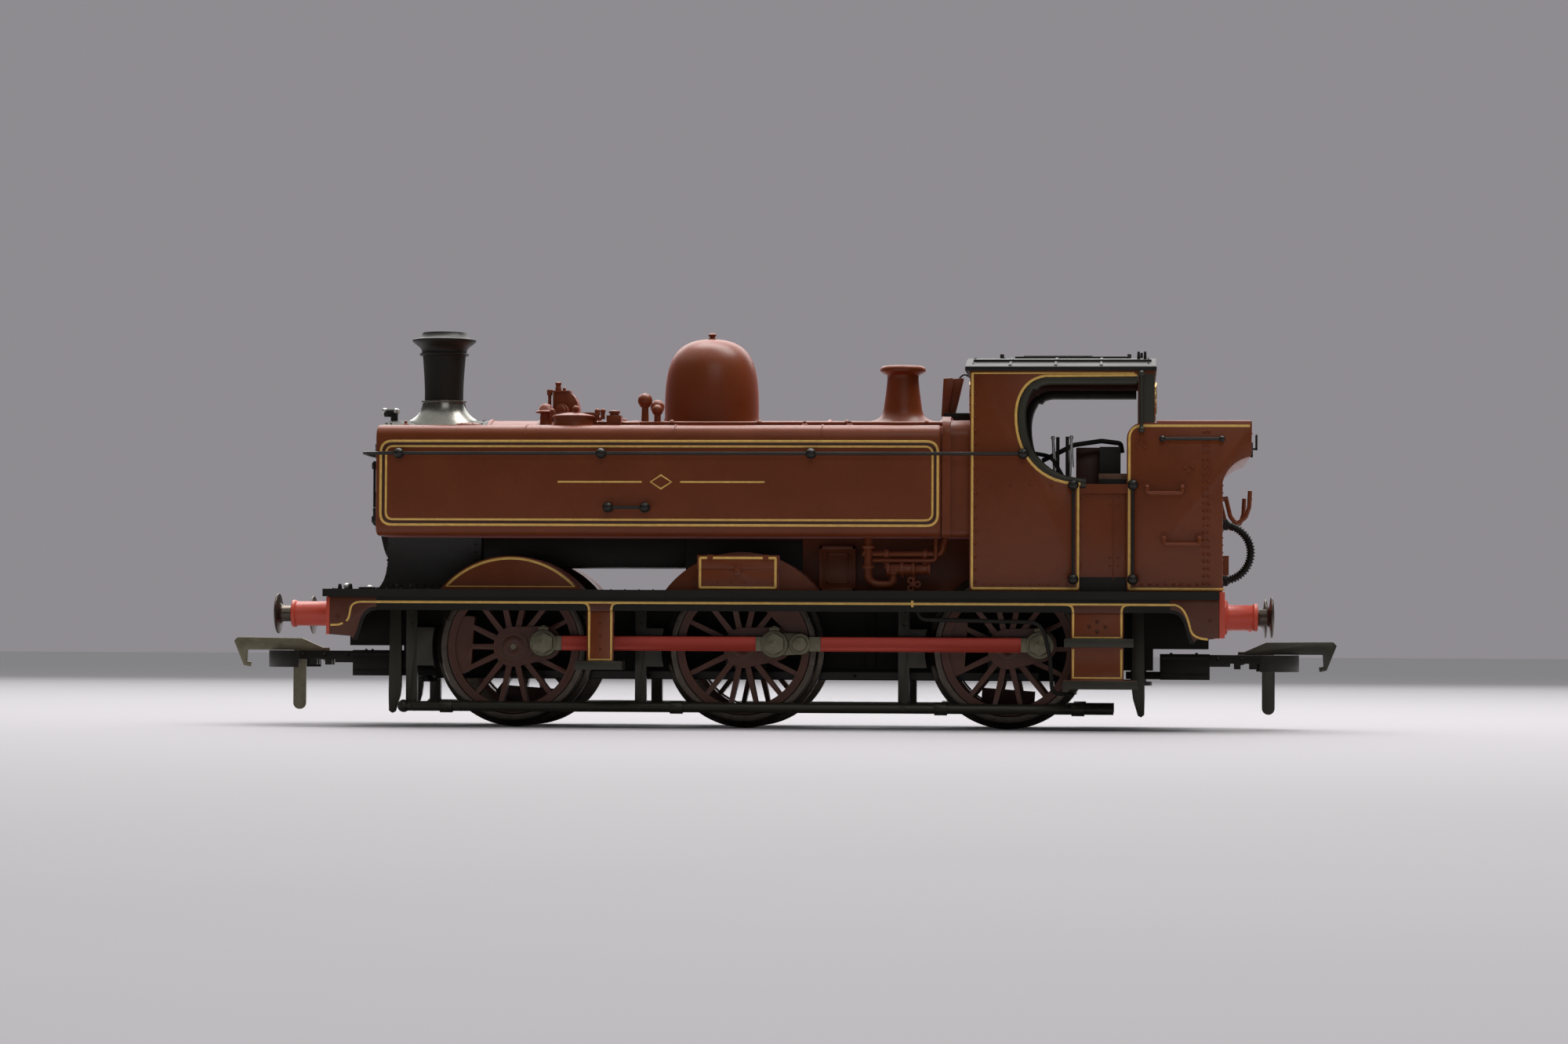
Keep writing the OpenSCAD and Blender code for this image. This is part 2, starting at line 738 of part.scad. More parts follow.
valve_x = 15.57;
module safety_valve() {
  color(paint) on_barrel(valve_x) difference() {
    polygon(concat(
      [[0, tank_top + 0.03], [4.4, tank_top + 0.03]],
      curve([[4.3, 38.3], [2.9, 38.9], [2.5, 41.0], [1.85, 44.6]], 8),
      [[2.4, 44.95], [2.9, 45.2], [2.9, 45.75], [2.6, 45.9], [0, 45.9]]
    ));
    translate([-0.1, 44.4]) square([1.4, 3]);
  }
}

module top_feed() {
  color(paint) {
    on_barrel(-27.7) polygon([[0, 38], [1.9, 38], [1.9, 39.8], [1.5, 40.2], [0, 40.2]]);
    slab_xz([-1.3, 1.3]) polygon([
      [-29.05, 39.9], [-29.05, 42.7], [-27.1, 42.7], [-26.3, 42.2], [-25.85, 41.4], [-25.8, 39.9]
    ]);
    along_z(0.35, [42.6, 43.95], -28.6);
    both_sides() difference() {
      union() {
        along_y(0.55, [-4.6, -1.2], -27.7, 40.1);
        along_z(0.8, [tank_top + 0.02, 40.9], -27.7, -4.2);
        along_z(1.0, [40.2, 40.6], -27.7, -4.2);
      }
      along_x(boiler_r + 0.02, [-30, -25], 0, boiler_z);
    }
    // The pipe along the left tank top, with its clips
    along_x(0.3, [-27.7, tank_rear], -8.6, tank_top + 0.45);
    for (x = [-21.8, -2, 19]) box([x - 0.4, x + 0.4], [-9.2, -8.0], [tank_top + 0.02, tank_top + 0.9]);
  }
}

filler_x = -25.05;
module tank_fillers() {
  color(paint) both_sides() {
    along_z(2.45, [tank_top + 0.02, tank_top + 1.3], filler_x, -11.4);
    box([filler_x - 2.8, filler_x + 3.5], [-11.7, -11.1], [tank_top + 1.0, tank_top + 1.75]);
    // Filler flange at the front, and the capped box behind the main one
    along_z(1.6, [tank_top + 0.02, tank_top + 0.45], -38.5, -10.5);
    box([-20.85, -19.05], [-12.3, -10.5], [tank_top + 0.02, tank_top + 1.3]);
    along_z(0.7, [tank_top + 1.2, tank_top + 1.95], -19.95, -11.4);
    // Vent with its ball
    along_z(0.55, [tank_top + 0.02, 41.2], -16.6, -7.0);
    translate([-16.6, -7.0, 41.1]) sphere(r = 0.93, $fn = 24);
  }
}

rail_y = -16.4;
rail_z = 34.0;
rail_r = 0.22;
rail_front = -50.8;
rail_rear = 31.25;
knob_xs = [-46.35, -21.01, 5.09, rail_rear];
module handrails() {
  color(paint_black) {
    both_sides() {
      along_x(rail_r, [rail_front, rail_rear], rail_y, rail_z);
      for (x = knob_xs) rail_knob(x, rail_z, rail_y);
      translate([rail_front, rail_y, rail_z]) sphere(r = rail_r, $fn = 20);
      along_y(rail_r, [rail_y, -7.3], rail_front, rail_z);
      // Short rail on the tank side
      for (x = [-20.1, -15.5]) rail_knob(x, 27.3, rail_y);
      along_x(rail_r, [-20.1, -15.5], rail_y, 27.3);
      // Upright rails beside the doorway
      for (x = [door_edge - 0.75, bunker_front + 0.75]) {
        along_z(rail_r, [18.6, 30.2], x, rail_y + 0.2);
        for (z = [18.6, 30.2]) rail_knob(x, z, rail_y + 0.2);
      }
    }
    // Arch over the smokebox door
    translate([rail_front, 0, boiler_z]) rotate([0, -90, 0]) rotate([0, 0, -61.3])
      rotate_extrude(angle = 122.6) translate([8.32, 0]) circle(r = rail_r, $fn = 20);
    along_x(0.3, [rail_front, smokebox_front + 0.01], 0, boiler_z + 8.32);
  }
}

// ---- cab and bunker ----

// The cab side, with the opening's curve, from the side
cab_outline = concat(
  [[cab_front, deck_z + 0.02], [cab_front, eaves_z + 0.5], [cab_rear, eaves_z + 0.5],
   [cab_rear, bunker_top + 0.02], [cab_rear - 2.0, bunker_top + 0.02], [cab_rear - 2.0, 43.67]],
  curve([[34.1, 43.67], [31.6, 43.4], [30.45, 41.2], [30.45, 38.74]], 8),
  curve([[30.45, 38.74], [30.45, 34.0], [32.87, 30.34], [37.7, 30.34]], 10),
  [[door_edge, 30.2], [door_edge, deck_z + 0.02]]
);

module cab_body() {
  inner = side_y - sheet_t;
  windows = [-8.6, 8.6];
  color(paint) {
    both_sides() slab_xz([-side_y, -inner]) polygon(cab_outline);
    difference() {
      box([cab_front, cab_front + sheet_t], [-inner - 0.01, inner + 0.01], [deck_z + 0.02, eaves_z + 0.5]);
      for (y = windows) along_x(1.9, [cab_front - 1, cab_front + 2], y, 41.3);
      box([cab_front - 1, cab_front + 2], [-7.5, 7.5], [0, 20.2]);
      both_sides() box([cab_front - 1, cab_front + 2], [wheel_in - 0.5, wheel_out + 0.6], [0, 20.6]);
    }
    difference() {
      box([cab_rear - sheet_t, cab_rear], [-inner - 0.01, inner + 0.01], [bunker_top + 0.02, eaves_z + 0.5]);
      for (y = windows) along_x(1.7, [cab_rear - 2, cab_rear + 1], y, 41.3);
    }
    // Floor over the wheels and the motor
    box([cab_front + sheet_t - 0.01, cab_rear - 0.1], [-inner + 0.6, inner - 0.6], [floor_z - 0.7, floor_z]);
    // Half doors set back in the doorway
    both_sides() box([door_edge - 0.3, bunker_front + 0.3], [-inner, -inner + 0.65], [18.5, 30.3]);
  }
}

module cab_roof() {
  color(paint_black) {
    difference() {
      intersection() {
        along_x(roof_r, [24.07, 47.6], 0, roof_top - roof_r, $fn = 96);
        box([24, 48], [-roof_half_w, roof_half_w], [eaves_z, roof_top + 1]);
      }
      box([cab_front - 0.02, cab_rear + 0.02], [-side_y - 0.02, side_y + 0.02], [eaves_z - 1, eaves_z + 0.52]);
      along_x(roof_r - 0.7, [cab_front - 0.02, cab_rear + 0.02], 0, roof_top - roof_r, $fn = 96);
    }
    // Rain strips and lifting lugs
    both_sides() box([25, 47], [-12.4, -12.0], [45.2, 45.9]);
    for (x = [28, 44]) both_sides() box([x, x + 0.5], [-3.3, -2.7], [46.2, 47.2]);
  }
}

module backhead() {
  color(paint_black) {
    box([cab_front + sheet_t + 0.02, 29.2], [-7.2, 7.2], [floor_z + 0.02, 36.5]);
    along_x(1.6, [29.1, 29.7], 0, 26.0);
    for (y = [-3.5, 3.5]) along_x(0.9, [29.1, 29.6], y, 34.6);
    along_y(0.3, [-6.5, 6.5], 29.6, 32.5);
    along_x(0.3, [29.1, 29.7], -6, 32.5);
    along_x(0.3, [29.1, 29.7], 6, 32.5);
    box([31.8, 37.5], [8.6, 13.6], [floor_z + 0.02, 27.5]);
    box([40.5, 45.5], [-13.6, -9.0], [floor_z + 0.02, 31.0]);
  }
  // Reversing lever and brake column
  color(metal) for (x = [35.4, 36.6]) along_z(0.22, [floor_z + 0.02, 36.4], x, -9.5 - (x - 35.4));
}

// The bunker from the side: rounded at the top front, flared at the rear
bunker_outline = concat(
  [[bunker_front, deck_z + 0.02]],
  curve([[bunker_front, 36.0], [bunker_front, 37.0], [44.9, bunker_top], [45.8, bunker_top]], 6),
  [[59.27, bunker_top], [59.2, 34.1]],
  curve([[59.08, 33.75], [57.5, 33.4], [56.1, 32.3], [bunker_rear, 30.57]], 8),
  [[bunker_rear, deck_z + 0.02]]
);

module bunker() {
  inner = side_y - sheet_t;
  color(paint) difference() {
    slab_xz([-side_y, side_y]) polygon(bunker_outline);
    box([bunker_front - 1, cab_rear], [-inner, inner], [deck_z - 1, 40]);
    box([cab_rear + sheet_t, bunker_rear - sheet_t], [-inner, inner], [deck_z + 1, 40]);
    box([cab_rear + sheet_t, 58.4], [-inner, inner], [34.4, 40]);
  }
}

module coal() {
  inner = side_y - sheet_t - 0.1;
  color([0.05, 0.05, 0.05]) difference() {
    box([cab_rear + sheet_t + 0.05, bunker_rear - sheet_t - 0.05], [-inner, inner], [deck_z + 1.02, 37.2]);
    box([cab_rear, 52], [-inner - 1, inner + 1], [deck_z, 28]);
    for (i = [0:4]) along_z(1.2 + 0.2 * (i % 3), [36.5, 40], 49.4 + 1.1 * i, -11 + 5.4 * i, $fn = 14);
  }
}

module glazing() {
  color([0.8, 0.85, 0.88, 0.4]) both_sides() {
    along_x(1.88, [cab_front + 0.2, cab_front + 0.45], -8.6, 41.3);
    along_x(1.68, [cab_rear - 0.45, cab_rear - 0.2], -8.6, 41.3);
  }
}

// ---- along the footplate ----

module splasher(x, r) {
  color(paint) both_sides() translate([x, 0, axle_z]) difference() {
    slab_xz([-splasher_face, -wheel_in + 0.4]) intersection() {
      circle(r = r);
      translate([-20, deck_z + 0.02 - axle_z]) square([40, 20]);
    }
    slab_xz([-splasher_face + 0.5, -wheel_in + 0.18]) circle(r = r - 0.55);
  }
}

module splashers() {
  splasher(front_x, splasher_r[0]);
  splasher(centre_x, splasher_r[1]);
}

module toolboxes() {
  color(paint) both_sides() {
    box([-8.94, 1.0], [-15.5, -splasher_face - 0.02], [deck_z + 0.02, 19.75]);
    box([-9.0, 1.06], [-15.56, -splasher_face - 0.02], [19.76, 21.43]);
    box([-4.3, -3.6], [-15.75, -15.5], [19.2, 20.3]);
  }
}

// The hanging plate of a step, tucked in behind the valance at its top
module step_plate(x0, x1, bottom) {
  box([x0, x1], [-16.15, -valance_y + 0.85], [bottom, valance_bottom - 0.02]);
  box([x0, x1], [-valance_y + 0.57, -15.2], [valance_bottom - 1.5, valance_bottom + 1.6]);
}

module footsteps() {
  color(paint) both_sides() {
    // Steps in front of the centre wheel
    step_plate(-22.64, -19.33, 7.9);
    box([-24.0, -18.2], [-16.9, -13.7], [7.25, 8.2]);
    // Cab steps
    step_plate(37.2, 43.62, 5.9);
    box([36.4, 44.8], [-16.9, -13.7], [10.3, 11.2]);
    box([36.2, 45.3], [-16.9, -13.7], [5.1, 6.2]);
  }
}

// A bar that tapers to a point just above the rail
module guard_iron() {
  slab_xz([-8.6, -7.9]) polygon([
    [-48.6, deck_under - 0.02], [-48.75, 4.0], [-48.7, 1.9], [-48.3, 1.6], [-47.9, 1.8],
    [-47.3, 3.8], [-47.15, 5.0], [-47.2, deck_under - 0.02]
  ]);
}

hanger_dx = 12.95;
module brake_gear() {
  color(paint_black) {
    both_sides() {
      along_x(0.62, [-46.4, 42.4], -10.9, 2.53);
      translate([-46.4, -10.9, 2.53]) sphere(r = 0.8, $fn = 20);
      for (x = axle_xs) {
        // Hanger, shoe and the pin that joins the hanger to the pull rod
        box([x - hanger_dx - 0.7, x - hanger_dx + 0.7], [-9.6, -8.6], [2.0, deck_under - 0.02]);
        difference() {
          box([x - hanger_dx + 0.6, x - 9.0], [-9.6, -8.0], [7.6, 12.4]);
          along_y(axle_z + 0.35, [-11, -7], x, axle_z);
        }
        along_y(0.4, [-11.0, -8.7], x - hanger_dx, 2.53);
      }
      // Guard irons
      guard_iron();
      translate([-2.5, 0, 0]) mirror([1, 0, 0]) guard_iron();
    }
  }
}

// A quarter bend of pipe in the X and Z plane
module bend(x, y, z, r, pipe_r, from, sweep) {
  translate([x, y, z]) rotate([90, 0, 0]) rotate([0, 0, from])
    rotate_extrude(angle = sweep) translate([r, 0]) circle(r = pipe_r, $fn = 20);
}

module injectors() {
  y = -12.4;
  color(paint) both_sides() {
    // Feed pipe down from the tank, round a bend and up to the body
    along_z(0.42, [19.6, tank_bottom - 0.02], 9.6, y);
    bend(11.0, y, 19.6, 1.4, 0.42, 180, 180);
    along_z(0.42, [19.6, 20.4], 12.4, y);
    along_x(0.42, [12.4, 19.8], y, 20.4);
    along_x(0.85, [13.2, 15.2], y, 20.4);
    along_x(0.75, [16.4, 17.8], y, 20.4);
    along_z(0.35, [deck_z + 0.02, 20.4], 14.2, y);
    along_z(0.9, [18.3, 18.9], 14.2, y);
    along_z(0.42, [20.4, tank_bottom - 0.02], 19.4, y);
    // Plate in front of the firebox
    box([5.9, 9.0], [-8.4, -7.8], [deck_z + 0.02, 22.6]);
  }
}

module vacuum_hose() {
  color(paint_black) {
    bend(bunker_rear + 0.25, -4.2, 22.2, 3.5, 0.52, -90, 180);
    along_x(0.7, [bunker_rear + 0.02, bunker_rear + 0.9], -4.2, 25.7);
    along_x(0.7, [bunker_rear + 0.02, bunker_rear + 0.9], -4.2, 18.7);
  }
}

module lamp_iron(x, y, z) {
  box([x, x + 0.25], [y - 0.5, y + 0.5], [z, z + 1.9]);
  box([x, x + 0.8], [y - 0.5, y + 0.5], [z, z + 0.25]);
}

module lamp_irons() {
  color(paint_black) {
    // Bracket on the smokebox, above the door
    difference() {
      union() {
        box([-50.2, -49.4], [-0.45, 0.45], [boiler_z + boiler_r - 0.4, 40]);
        along_x(0.55, [-51.1, -49.5], 0, 39.95);
      }
      along_x(boiler_r + 0.01, [-52, -48], 0, boiler_z);
    }
    // Caps on the footplate ahead of the smokebox
    for (y = [-8, 8]) along_z(1.1, [deck_z + 0.02, deck_z + 0.55], -51.7, y);
    for (y = [-9.5, 9.5]) mirror([1, 0, 0]) lamp_iron(-60.1, y, 34.8);
  }
  // Hooks and steps on the bunker
  color(paint) both_sides() {
    bend(57.7, -12.8, 28.2, 1.5, 0.26, 180, 180);
    along_x(0.26, [bunker_rear + 0.02, 56.3], -12.8, 28.2);
    along_z(0.26, [28.2, 29.6], 59.2, -12.8);
    for (s = [[46.1, 29.0], [48.2, 23.0]]) box([s[0], s[0] + 3.6], [-16.3, -side_y - 0.01], [s[1], s[1] + 0.55]);
  }
}

// ---- couplings ----

// The swinging part, at the front: pocket, tail, bar and bumper
module coupling() {
  color(paint_black) difference() {
    union() {
      box([-54.4, -48.2], [-3.0, 3.0], [6.25, 9.5]);
      box([-50, -43.9], [-2.0, 2.0], [6.3, 7.25]);
      both_sides() box([-65.3, -54.3], [-1.3, -0.4], [bar_bottom, bar_top]);
      both_sides() box([-60.3, -59.4], [-1.3, -0.4], [7.6, bar_bottom + 0.1]);
      both_sides() box([-58.3, -57.5], [-1.3, -0.4], [7.6, bar_bottom + 0.1]);
      box([-57.0, -54.3], [-1.3, 1.3], [bar_bottom - 0.4, bar_top - 0.2]);
      // The bumper loop, curved back at its ends
      intersection() {
        translate([-56.9, 0, 7.3]) difference() {
          cylinder(r = 8.75, h = bar_top - 7.3);
          translate([0, 0, -1]) cylinder(r = 8.05, h = 4);
        }
        box([-66, -60.5], [-7.6, 7.6], [7, 10]);
      }
    }
    along_z(pivot_r + 0.08, [5, 8], -pivot_x);
  }
  color(metal) along_y(0.38, [-0.5, 0.5], -58.4, 8.86);
}

// The lifting part: hook and drop arm, one plate
module hook() {
  color(nickel) slab_xz([-0.3, 0.3]) difference() {
    union() {
      polygon([
        [-58.0, 9.45], [-61.5, 11.0], [-69.9, 11.1], [-hook_tip_x, 10.6], [-69.1, 7.5], [-68.2, 7.3],
        [-68.1, 7.9], [-68.7, 8.0], [-68.6, 9.47]
      ]);
      translate([-62.5, 8.6]) square([4.5, 1.2]);
      translate([-62.6, 2.7]) square([1.6, 6.5]);
      translate([-61.8, 2.7]) circle(r = 0.8);
      translate([-58.4, 8.86]) circle(r = 0.75);
    }
    translate([-58.4, 8.86]) circle(r = 0.43);
  }
}

module front_coupling() { coupling(); }
module front_hook() { hook(); }
module rear_coupling() { mirror([1, 0, 0]) coupling(); }
module rear_hook() { mirror([1, 0, 0]) hook(); }

chassis_block();
keeper_plate();
axle_bearings();
chassis_screws();
motor();
pickup_strips();
circuit_board();
buffer_springs();
footplate();
buffer_beams();
buffer_housings();
smokebox();
smokebox_door();
boiler();
firebox();
left_tank();
right_tank();
chimney();
dome();
safety_valve();
top_feed();
tank_fillers();
handrails();
cab_body();
cab_roof();
backhead();
bunker();
coal();
glazing();
splashers();
toolboxes();
footsteps();
brake_gear();
injectors();
vacuum_hose();
lamp_irons();
front_axle();
front_wheels();
front_tyres();
centre_axle();
centre_wheels();
centre_tyres();
rear_axle();
rear_wheels();
rear_tyres();
drive_gear();
worm_shaft();
idler_gear();
left_front_rod();
left_rear_rod();
right_front_rod();
right_rear_rod();
front_left_buffer();
front_right_buffer();
rear_left_buffer();
rear_right_buffer();
front_coupling();
front_hook();
rear_coupling();
rear_hook();
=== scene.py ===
import json
import math
import random

import bmesh
import bpy
from mathutils import Matrix, Vector


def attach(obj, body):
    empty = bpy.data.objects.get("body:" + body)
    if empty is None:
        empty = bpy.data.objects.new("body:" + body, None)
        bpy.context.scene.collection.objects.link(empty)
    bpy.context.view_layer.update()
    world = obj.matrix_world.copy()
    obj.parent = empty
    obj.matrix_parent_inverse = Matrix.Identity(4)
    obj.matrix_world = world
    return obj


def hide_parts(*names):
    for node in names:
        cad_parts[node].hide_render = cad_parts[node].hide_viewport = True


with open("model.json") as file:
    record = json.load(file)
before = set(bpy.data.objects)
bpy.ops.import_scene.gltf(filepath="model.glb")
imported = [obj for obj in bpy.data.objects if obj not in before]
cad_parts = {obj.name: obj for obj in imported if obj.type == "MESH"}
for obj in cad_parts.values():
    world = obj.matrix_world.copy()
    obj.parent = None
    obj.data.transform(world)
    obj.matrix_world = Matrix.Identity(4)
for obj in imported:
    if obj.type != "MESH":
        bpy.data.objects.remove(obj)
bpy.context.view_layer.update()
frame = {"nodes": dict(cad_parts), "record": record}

bl_info = {
    "name": "Pannier Tank Locomotive Model",
    "version": (1, 0, 0),
    "blender": (4, 5, 0),
    "location": "View3D > Sidebar > Locomotive",
    "description": "Builds the finished surfaces of a model six-coupled tank locomotive",
    "category": "Add Mesh",
}

MM = 0.001
NODES = frame["nodes"]
BODIES = frame["record"]["behaviour"]["bodies"]
BODY_OF = {node: body for body, nodes in BODIES.items() for node in nodes}

# Places shared by several pieces, in millimetres
SIDE_Y = 15.45
DECK_Z = 17.1
BARREL_R = 8.9
BARREL_Z = 30.0
TANK_TOP = 37.65
TANK_X = (-49.4, 21.11)
AXLE_Z = 10.0
AXLES = {"front": -32.73, "centre": -3.73, "rear": 29.27}
CRANK = 4.0
CRANK_TURN = {-1: 7.0, 1: 97.0}
ROD_Y = 10.55
BUFFER_Y = 11.4
BUFFER_Z = 14.05
FRONT_BEAM_X = -55.3
REAR_BEAM_X = 55.97
VALANCE_Y = -16.2
STEP_Y = -16.16
TANK_ROOF = 37.6
FEED_X = -27.7
BACKHEAD_X = 29.2
BRAKE_ROD_Z = 2.53
PRINT_LIFT = 0.005


# ---- sizes and colours that a user may change ----

class LocoPaints(bpy.types.PropertyGroup):
    """Colours of the paints and plastics."""

    maroon: bpy.props.FloatVectorProperty(
        name="Maroon", description="Main body colour", subtype="COLOR",
        size=3, min=0, max=1, default=(0.165, 0.0370, 0.0085))
    black: bpy.props.FloatVectorProperty(
        name="Black", description="Smokebox, footplate and roof", subtype="COLOR",
        size=3, min=0, max=1, default=(0.0125, 0.0118, 0.0082))
    red: bpy.props.FloatVectorProperty(
        name="Signal red", description="Buffer beams and housings", subtype="COLOR",
        size=3, min=0, max=1, default=(0.58, 0.070, 0.036))
    rod_red: bpy.props.FloatVectorProperty(
        name="Rod red", description="Coupling rods", subtype="COLOR",
        size=3, min=0, max=1, default=(0.56, 0.066, 0.016))
    gold: bpy.props.FloatVectorProperty(
        name="Lining yellow", description="Printed lines", subtype="COLOR",
        size=3, min=0, max=1, default=(0.80, 0.50, 0.12))
    wheel: bpy.props.FloatVectorProperty(
        name="Wheel brown", description="Wheel centres", subtype="COLOR",
        size=3, min=0, max=1, default=(0.098, 0.030, 0.014))


class LocoSizes(bpy.types.PropertyGroup):
    """Sizes of the fine detail."""

    line_width: bpy.props.FloatProperty(
        name="Line width", description="Width of a printed line",
        default=0.00030, min=0.0001, max=0.001, unit="LENGTH")
    rivet: bpy.props.FloatProperty(
        name="Rivet radius", description="Radius of a rivet head",
        default=0.00025, min=0.00005, max=0.0005, unit="LENGTH")
    edge: bpy.props.FloatProperty(
        name="Edge rounding", description="Width of the rounding on plate edges",
        default=0.00009, min=0.00001, max=0.0005, unit="LENGTH")


class LocoStudio(bpy.types.PropertyGroup):
    """Light and floor of the studio."""

    key: bpy.props.FloatProperty(
        name="Key light", description="Power of the overhead soft light",
        default=4.0, min=0, unit="POWER")
    fill: bpy.props.FloatProperty(
        name="Fill light", description="Power of the weak light in front",
        default=0.75, min=0, unit="POWER")
    sky: bpy.props.FloatProperty(
        name="Sky light", description="Strength of the broad light from above",
        default=1.7, min=0)
    floor: bpy.props.FloatVectorProperty(
        name="Floor", description="Colour of the floor", subtype="COLOR",
        size=3, min=0, max=1, default=(0.36, 0.352, 0.368))


# ---- mesh helpers; every length is in millimetres until piece() ----

def block(bm, x, y, z):
    """Adds a box between the corner values."""
    size = [b - a for a, b in (x, y, z)]
    middle = [(a + b) / 2 for a, b in (x, y, z)]
    verts = bmesh.ops.create_cube(bm, size=1.0)["verts"]
    bmesh.ops.scale(bm, vec=size, verts=verts)
    bmesh.ops.translate(bm, vec=middle, verts=verts)
    return verts


def sweep_flat(bm, points, step):
    """Fills a closed outline and extrudes it by a step."""
    ring = [bm.verts.new(point) for point in points]
    face = bm.faces.new(ring)
    grown = bmesh.ops.extrude_face_region(bm, geom=[face])["geom"]
    moved = [item for item in grown if isinstance(item, bmesh.types.BMVert)]
    bmesh.ops.translate(bm, vec=step, verts=moved)
    return ring + moved


def prism(bm, outline, y0, y1):
    """A side outline in X and Z, extruded across."""
    return sweep_flat(bm, [(x, y0, z) for x, z in outline], (0, y1 - y0, 0))


def section(bm, outline, x0, x1):
    """An end outline in Y and Z, extruded along."""
    return sweep_flat(bm, [(x0, y, z) for y, z in outline], (x1 - x0, 0, 0))


AIM = {
    "z": Matrix.Identity(4),
    "x": Matrix.Rotation(math.radians(90), 4, "Y"),
    "-x": Matrix.Rotation(math.radians(-90), 4, "Y"),
    "y": Matrix.Rotation(math.radians(-90), 4, "X"),
    "-y": Matrix.Rotation(math.radians(90), 4, "X"),
}


def lathe(bm, profile, at=(0, 0, 0), aim="z", steps=40):
    """Turns a profile of (radius, height) round an axis that points along aim."""
    start = [bm.verts.new((radius, 0, height)) for radius, height in profile]
    edges = [bm.edges.new(pair) for pair in zip(start, start[1:])]
    bmesh.ops.spin(bm, geom=start + edges, cent=(0, 0, 0), axis=(0, 0, 1),
                   angle=math.tau, steps=steps, use_merge=True)
    verts = set(start)
    for edge in edges:
        verts.update(edge.verts)
    walk = list(verts)
    while walk:
        for edge in walk.pop().link_edges:
            for vert in edge.verts:
                if vert not in verts:
                    verts.add(vert)
                    walk.append(vert)
    verts = list(verts)
    bmesh.ops.transform(bm, matrix=Matrix.Translation(at) @ AIM[aim], verts=verts)
    merged = bmesh.ops.find_doubles(bm, verts=verts, dist=0.0005)["targetmap"]
    bmesh.ops.weld_verts(bm, targetmap=merged)
    return [vert for vert in verts if vert.is_valid]


def rod(bm, start, end, radius, tip=None, steps=16):
    """A round bar between two points."""
    a, b = Vector(start), Vector(end)
    turn = (b - a).to_track_quat("Z", "Y").to_matrix().to_4x4()
    return bmesh.ops.create_cone(
        bm, cap_ends=True, segments=steps, radius1=radius,
        radius2=radius if tip is None else tip, depth=(b - a).length,
        matrix=Matrix.Translation((a + b) / 2) @ turn)["verts"]


def ball(bm, at, radius, steps=12):
    """A small sphere."""
    return bmesh.ops.create_uvsphere(
        bm, u_segments=steps, v_segments=max(6, steps // 2 + 2), radius=radius,
        matrix=Matrix.Translation(at))["verts"]


def rounded(points, radius, steps=6, closed=True):
    """The points of an outline with each corner turned at its radius."""
    radii = radius if isinstance(radius, (list, tuple)) else [radius] * len(points)
    count = len(points)
    path = []
    for i, point in enumerate(points):
        here = Vector(point)
        if radii[i] <= 0 or (not closed and i in (0, count - 1)):
            path.append(here)
            continue
        back = Vector(points[i - 1]) - here
        ahead = Vector(points[(i + 1) % count]) - here
        reach = radii[i] / math.tan(back.angle(ahead) / 2)
        reach = min(reach, back.length * 0.49, ahead.length * 0.49)
        back.normalize()
        ahead.normalize()
        for k in range(steps + 1):
            t = k / steps
            path.append(here + back * reach * (1 - t) ** 2 + ahead * reach * t ** 2)
    return [tuple(point) for point in path]


def bezier(points, steps=10):
    """Points on a cubic curve between its two ends."""
    a, b, c, d = (Vector(point) for point in points)
    path = []
    for k in range(steps + 1):
        t = k / steps
        s = 1 - t
        path.append(tuple(a * s ** 3 + b * 3 * s * s * t + c * 3 * s * t * t + d * t ** 3))
    return path


def arc(x, z, radius, start, stop, steps=24):
    """Points on a circle seen from the side, between two angles in degrees."""
    turns = [math.radians(start + (stop - start) * k / steps) for k in range(steps + 1)]
    return [(x + radius * math.cos(t), z + radius * math.sin(t)) for t in turns]


def tube(bm, path, radius, closed=False, sides=2):
    """Adds a round tube along a path."""
    curve = bpy.data.curves.new("path", "CURVE")
    curve.dimensions = "3D"
    curve.bevel_depth = radius
    curve.bevel_resolution = sides
    curve.use_fill_caps = not closed
    spline = curve.splines.new("POLY")
    spline.points.add(len(path) - 1)
    for point, at in zip(spline.points, path):
        point.co = (*at, 1)
    spline.use_cyclic_u = closed
    holder = bpy.data.objects.new("path", curve)
    mesh = bpy.data.meshes.new_from_object(holder)
    before = set(bm.verts)
    bm.from_mesh(mesh)
    bpy.data.objects.remove(holder)
    bpy.data.curves.remove(curve)
    bpy.data.meshes.remove(mesh)
    fresh = [vert for vert in bm.verts if vert not in before]
    merged = bmesh.ops.find_doubles(bm, verts=fresh, dist=0.0005)["targetmap"]
    bmesh.ops.weld_verts(bm, targetmap=merged)
    return [vert for vert in fresh if vert.is_valid]


def squeeze(bm, verts, axis, level, amount):
    """Flattens points towards a plane across an axis."""
    scale = [amount if i == axis else 1.0 for i in range(3)]
    shift = Vector([-level if i == axis else 0.0 for i in range(3)])
    bmesh.ops.scale(bm, vec=scale, space=Matrix.Translation(shift), verts=verts)


def side_line(bm, path, y, closed=False, width=None):
    """A printed line that lies on a side face; the path holds X and Z."""
    half = (width or bpy.context.scene.loco_sizes.line_width / MM) / 2
    verts = tube(bm, [(x, y, z) for x, z in path], half, closed)
    squeeze(bm, verts, 1, y, 0.035 / half)


def mirrored(bm):
    """Repeats everything on the other side of the middle."""
    bmesh.ops.mirror(bm, geom=bm.verts[:] + bm.edges[:] + bm.faces[:],
                     matrix=Matrix.Identity(4), merge_dist=0.0, axis="Y")


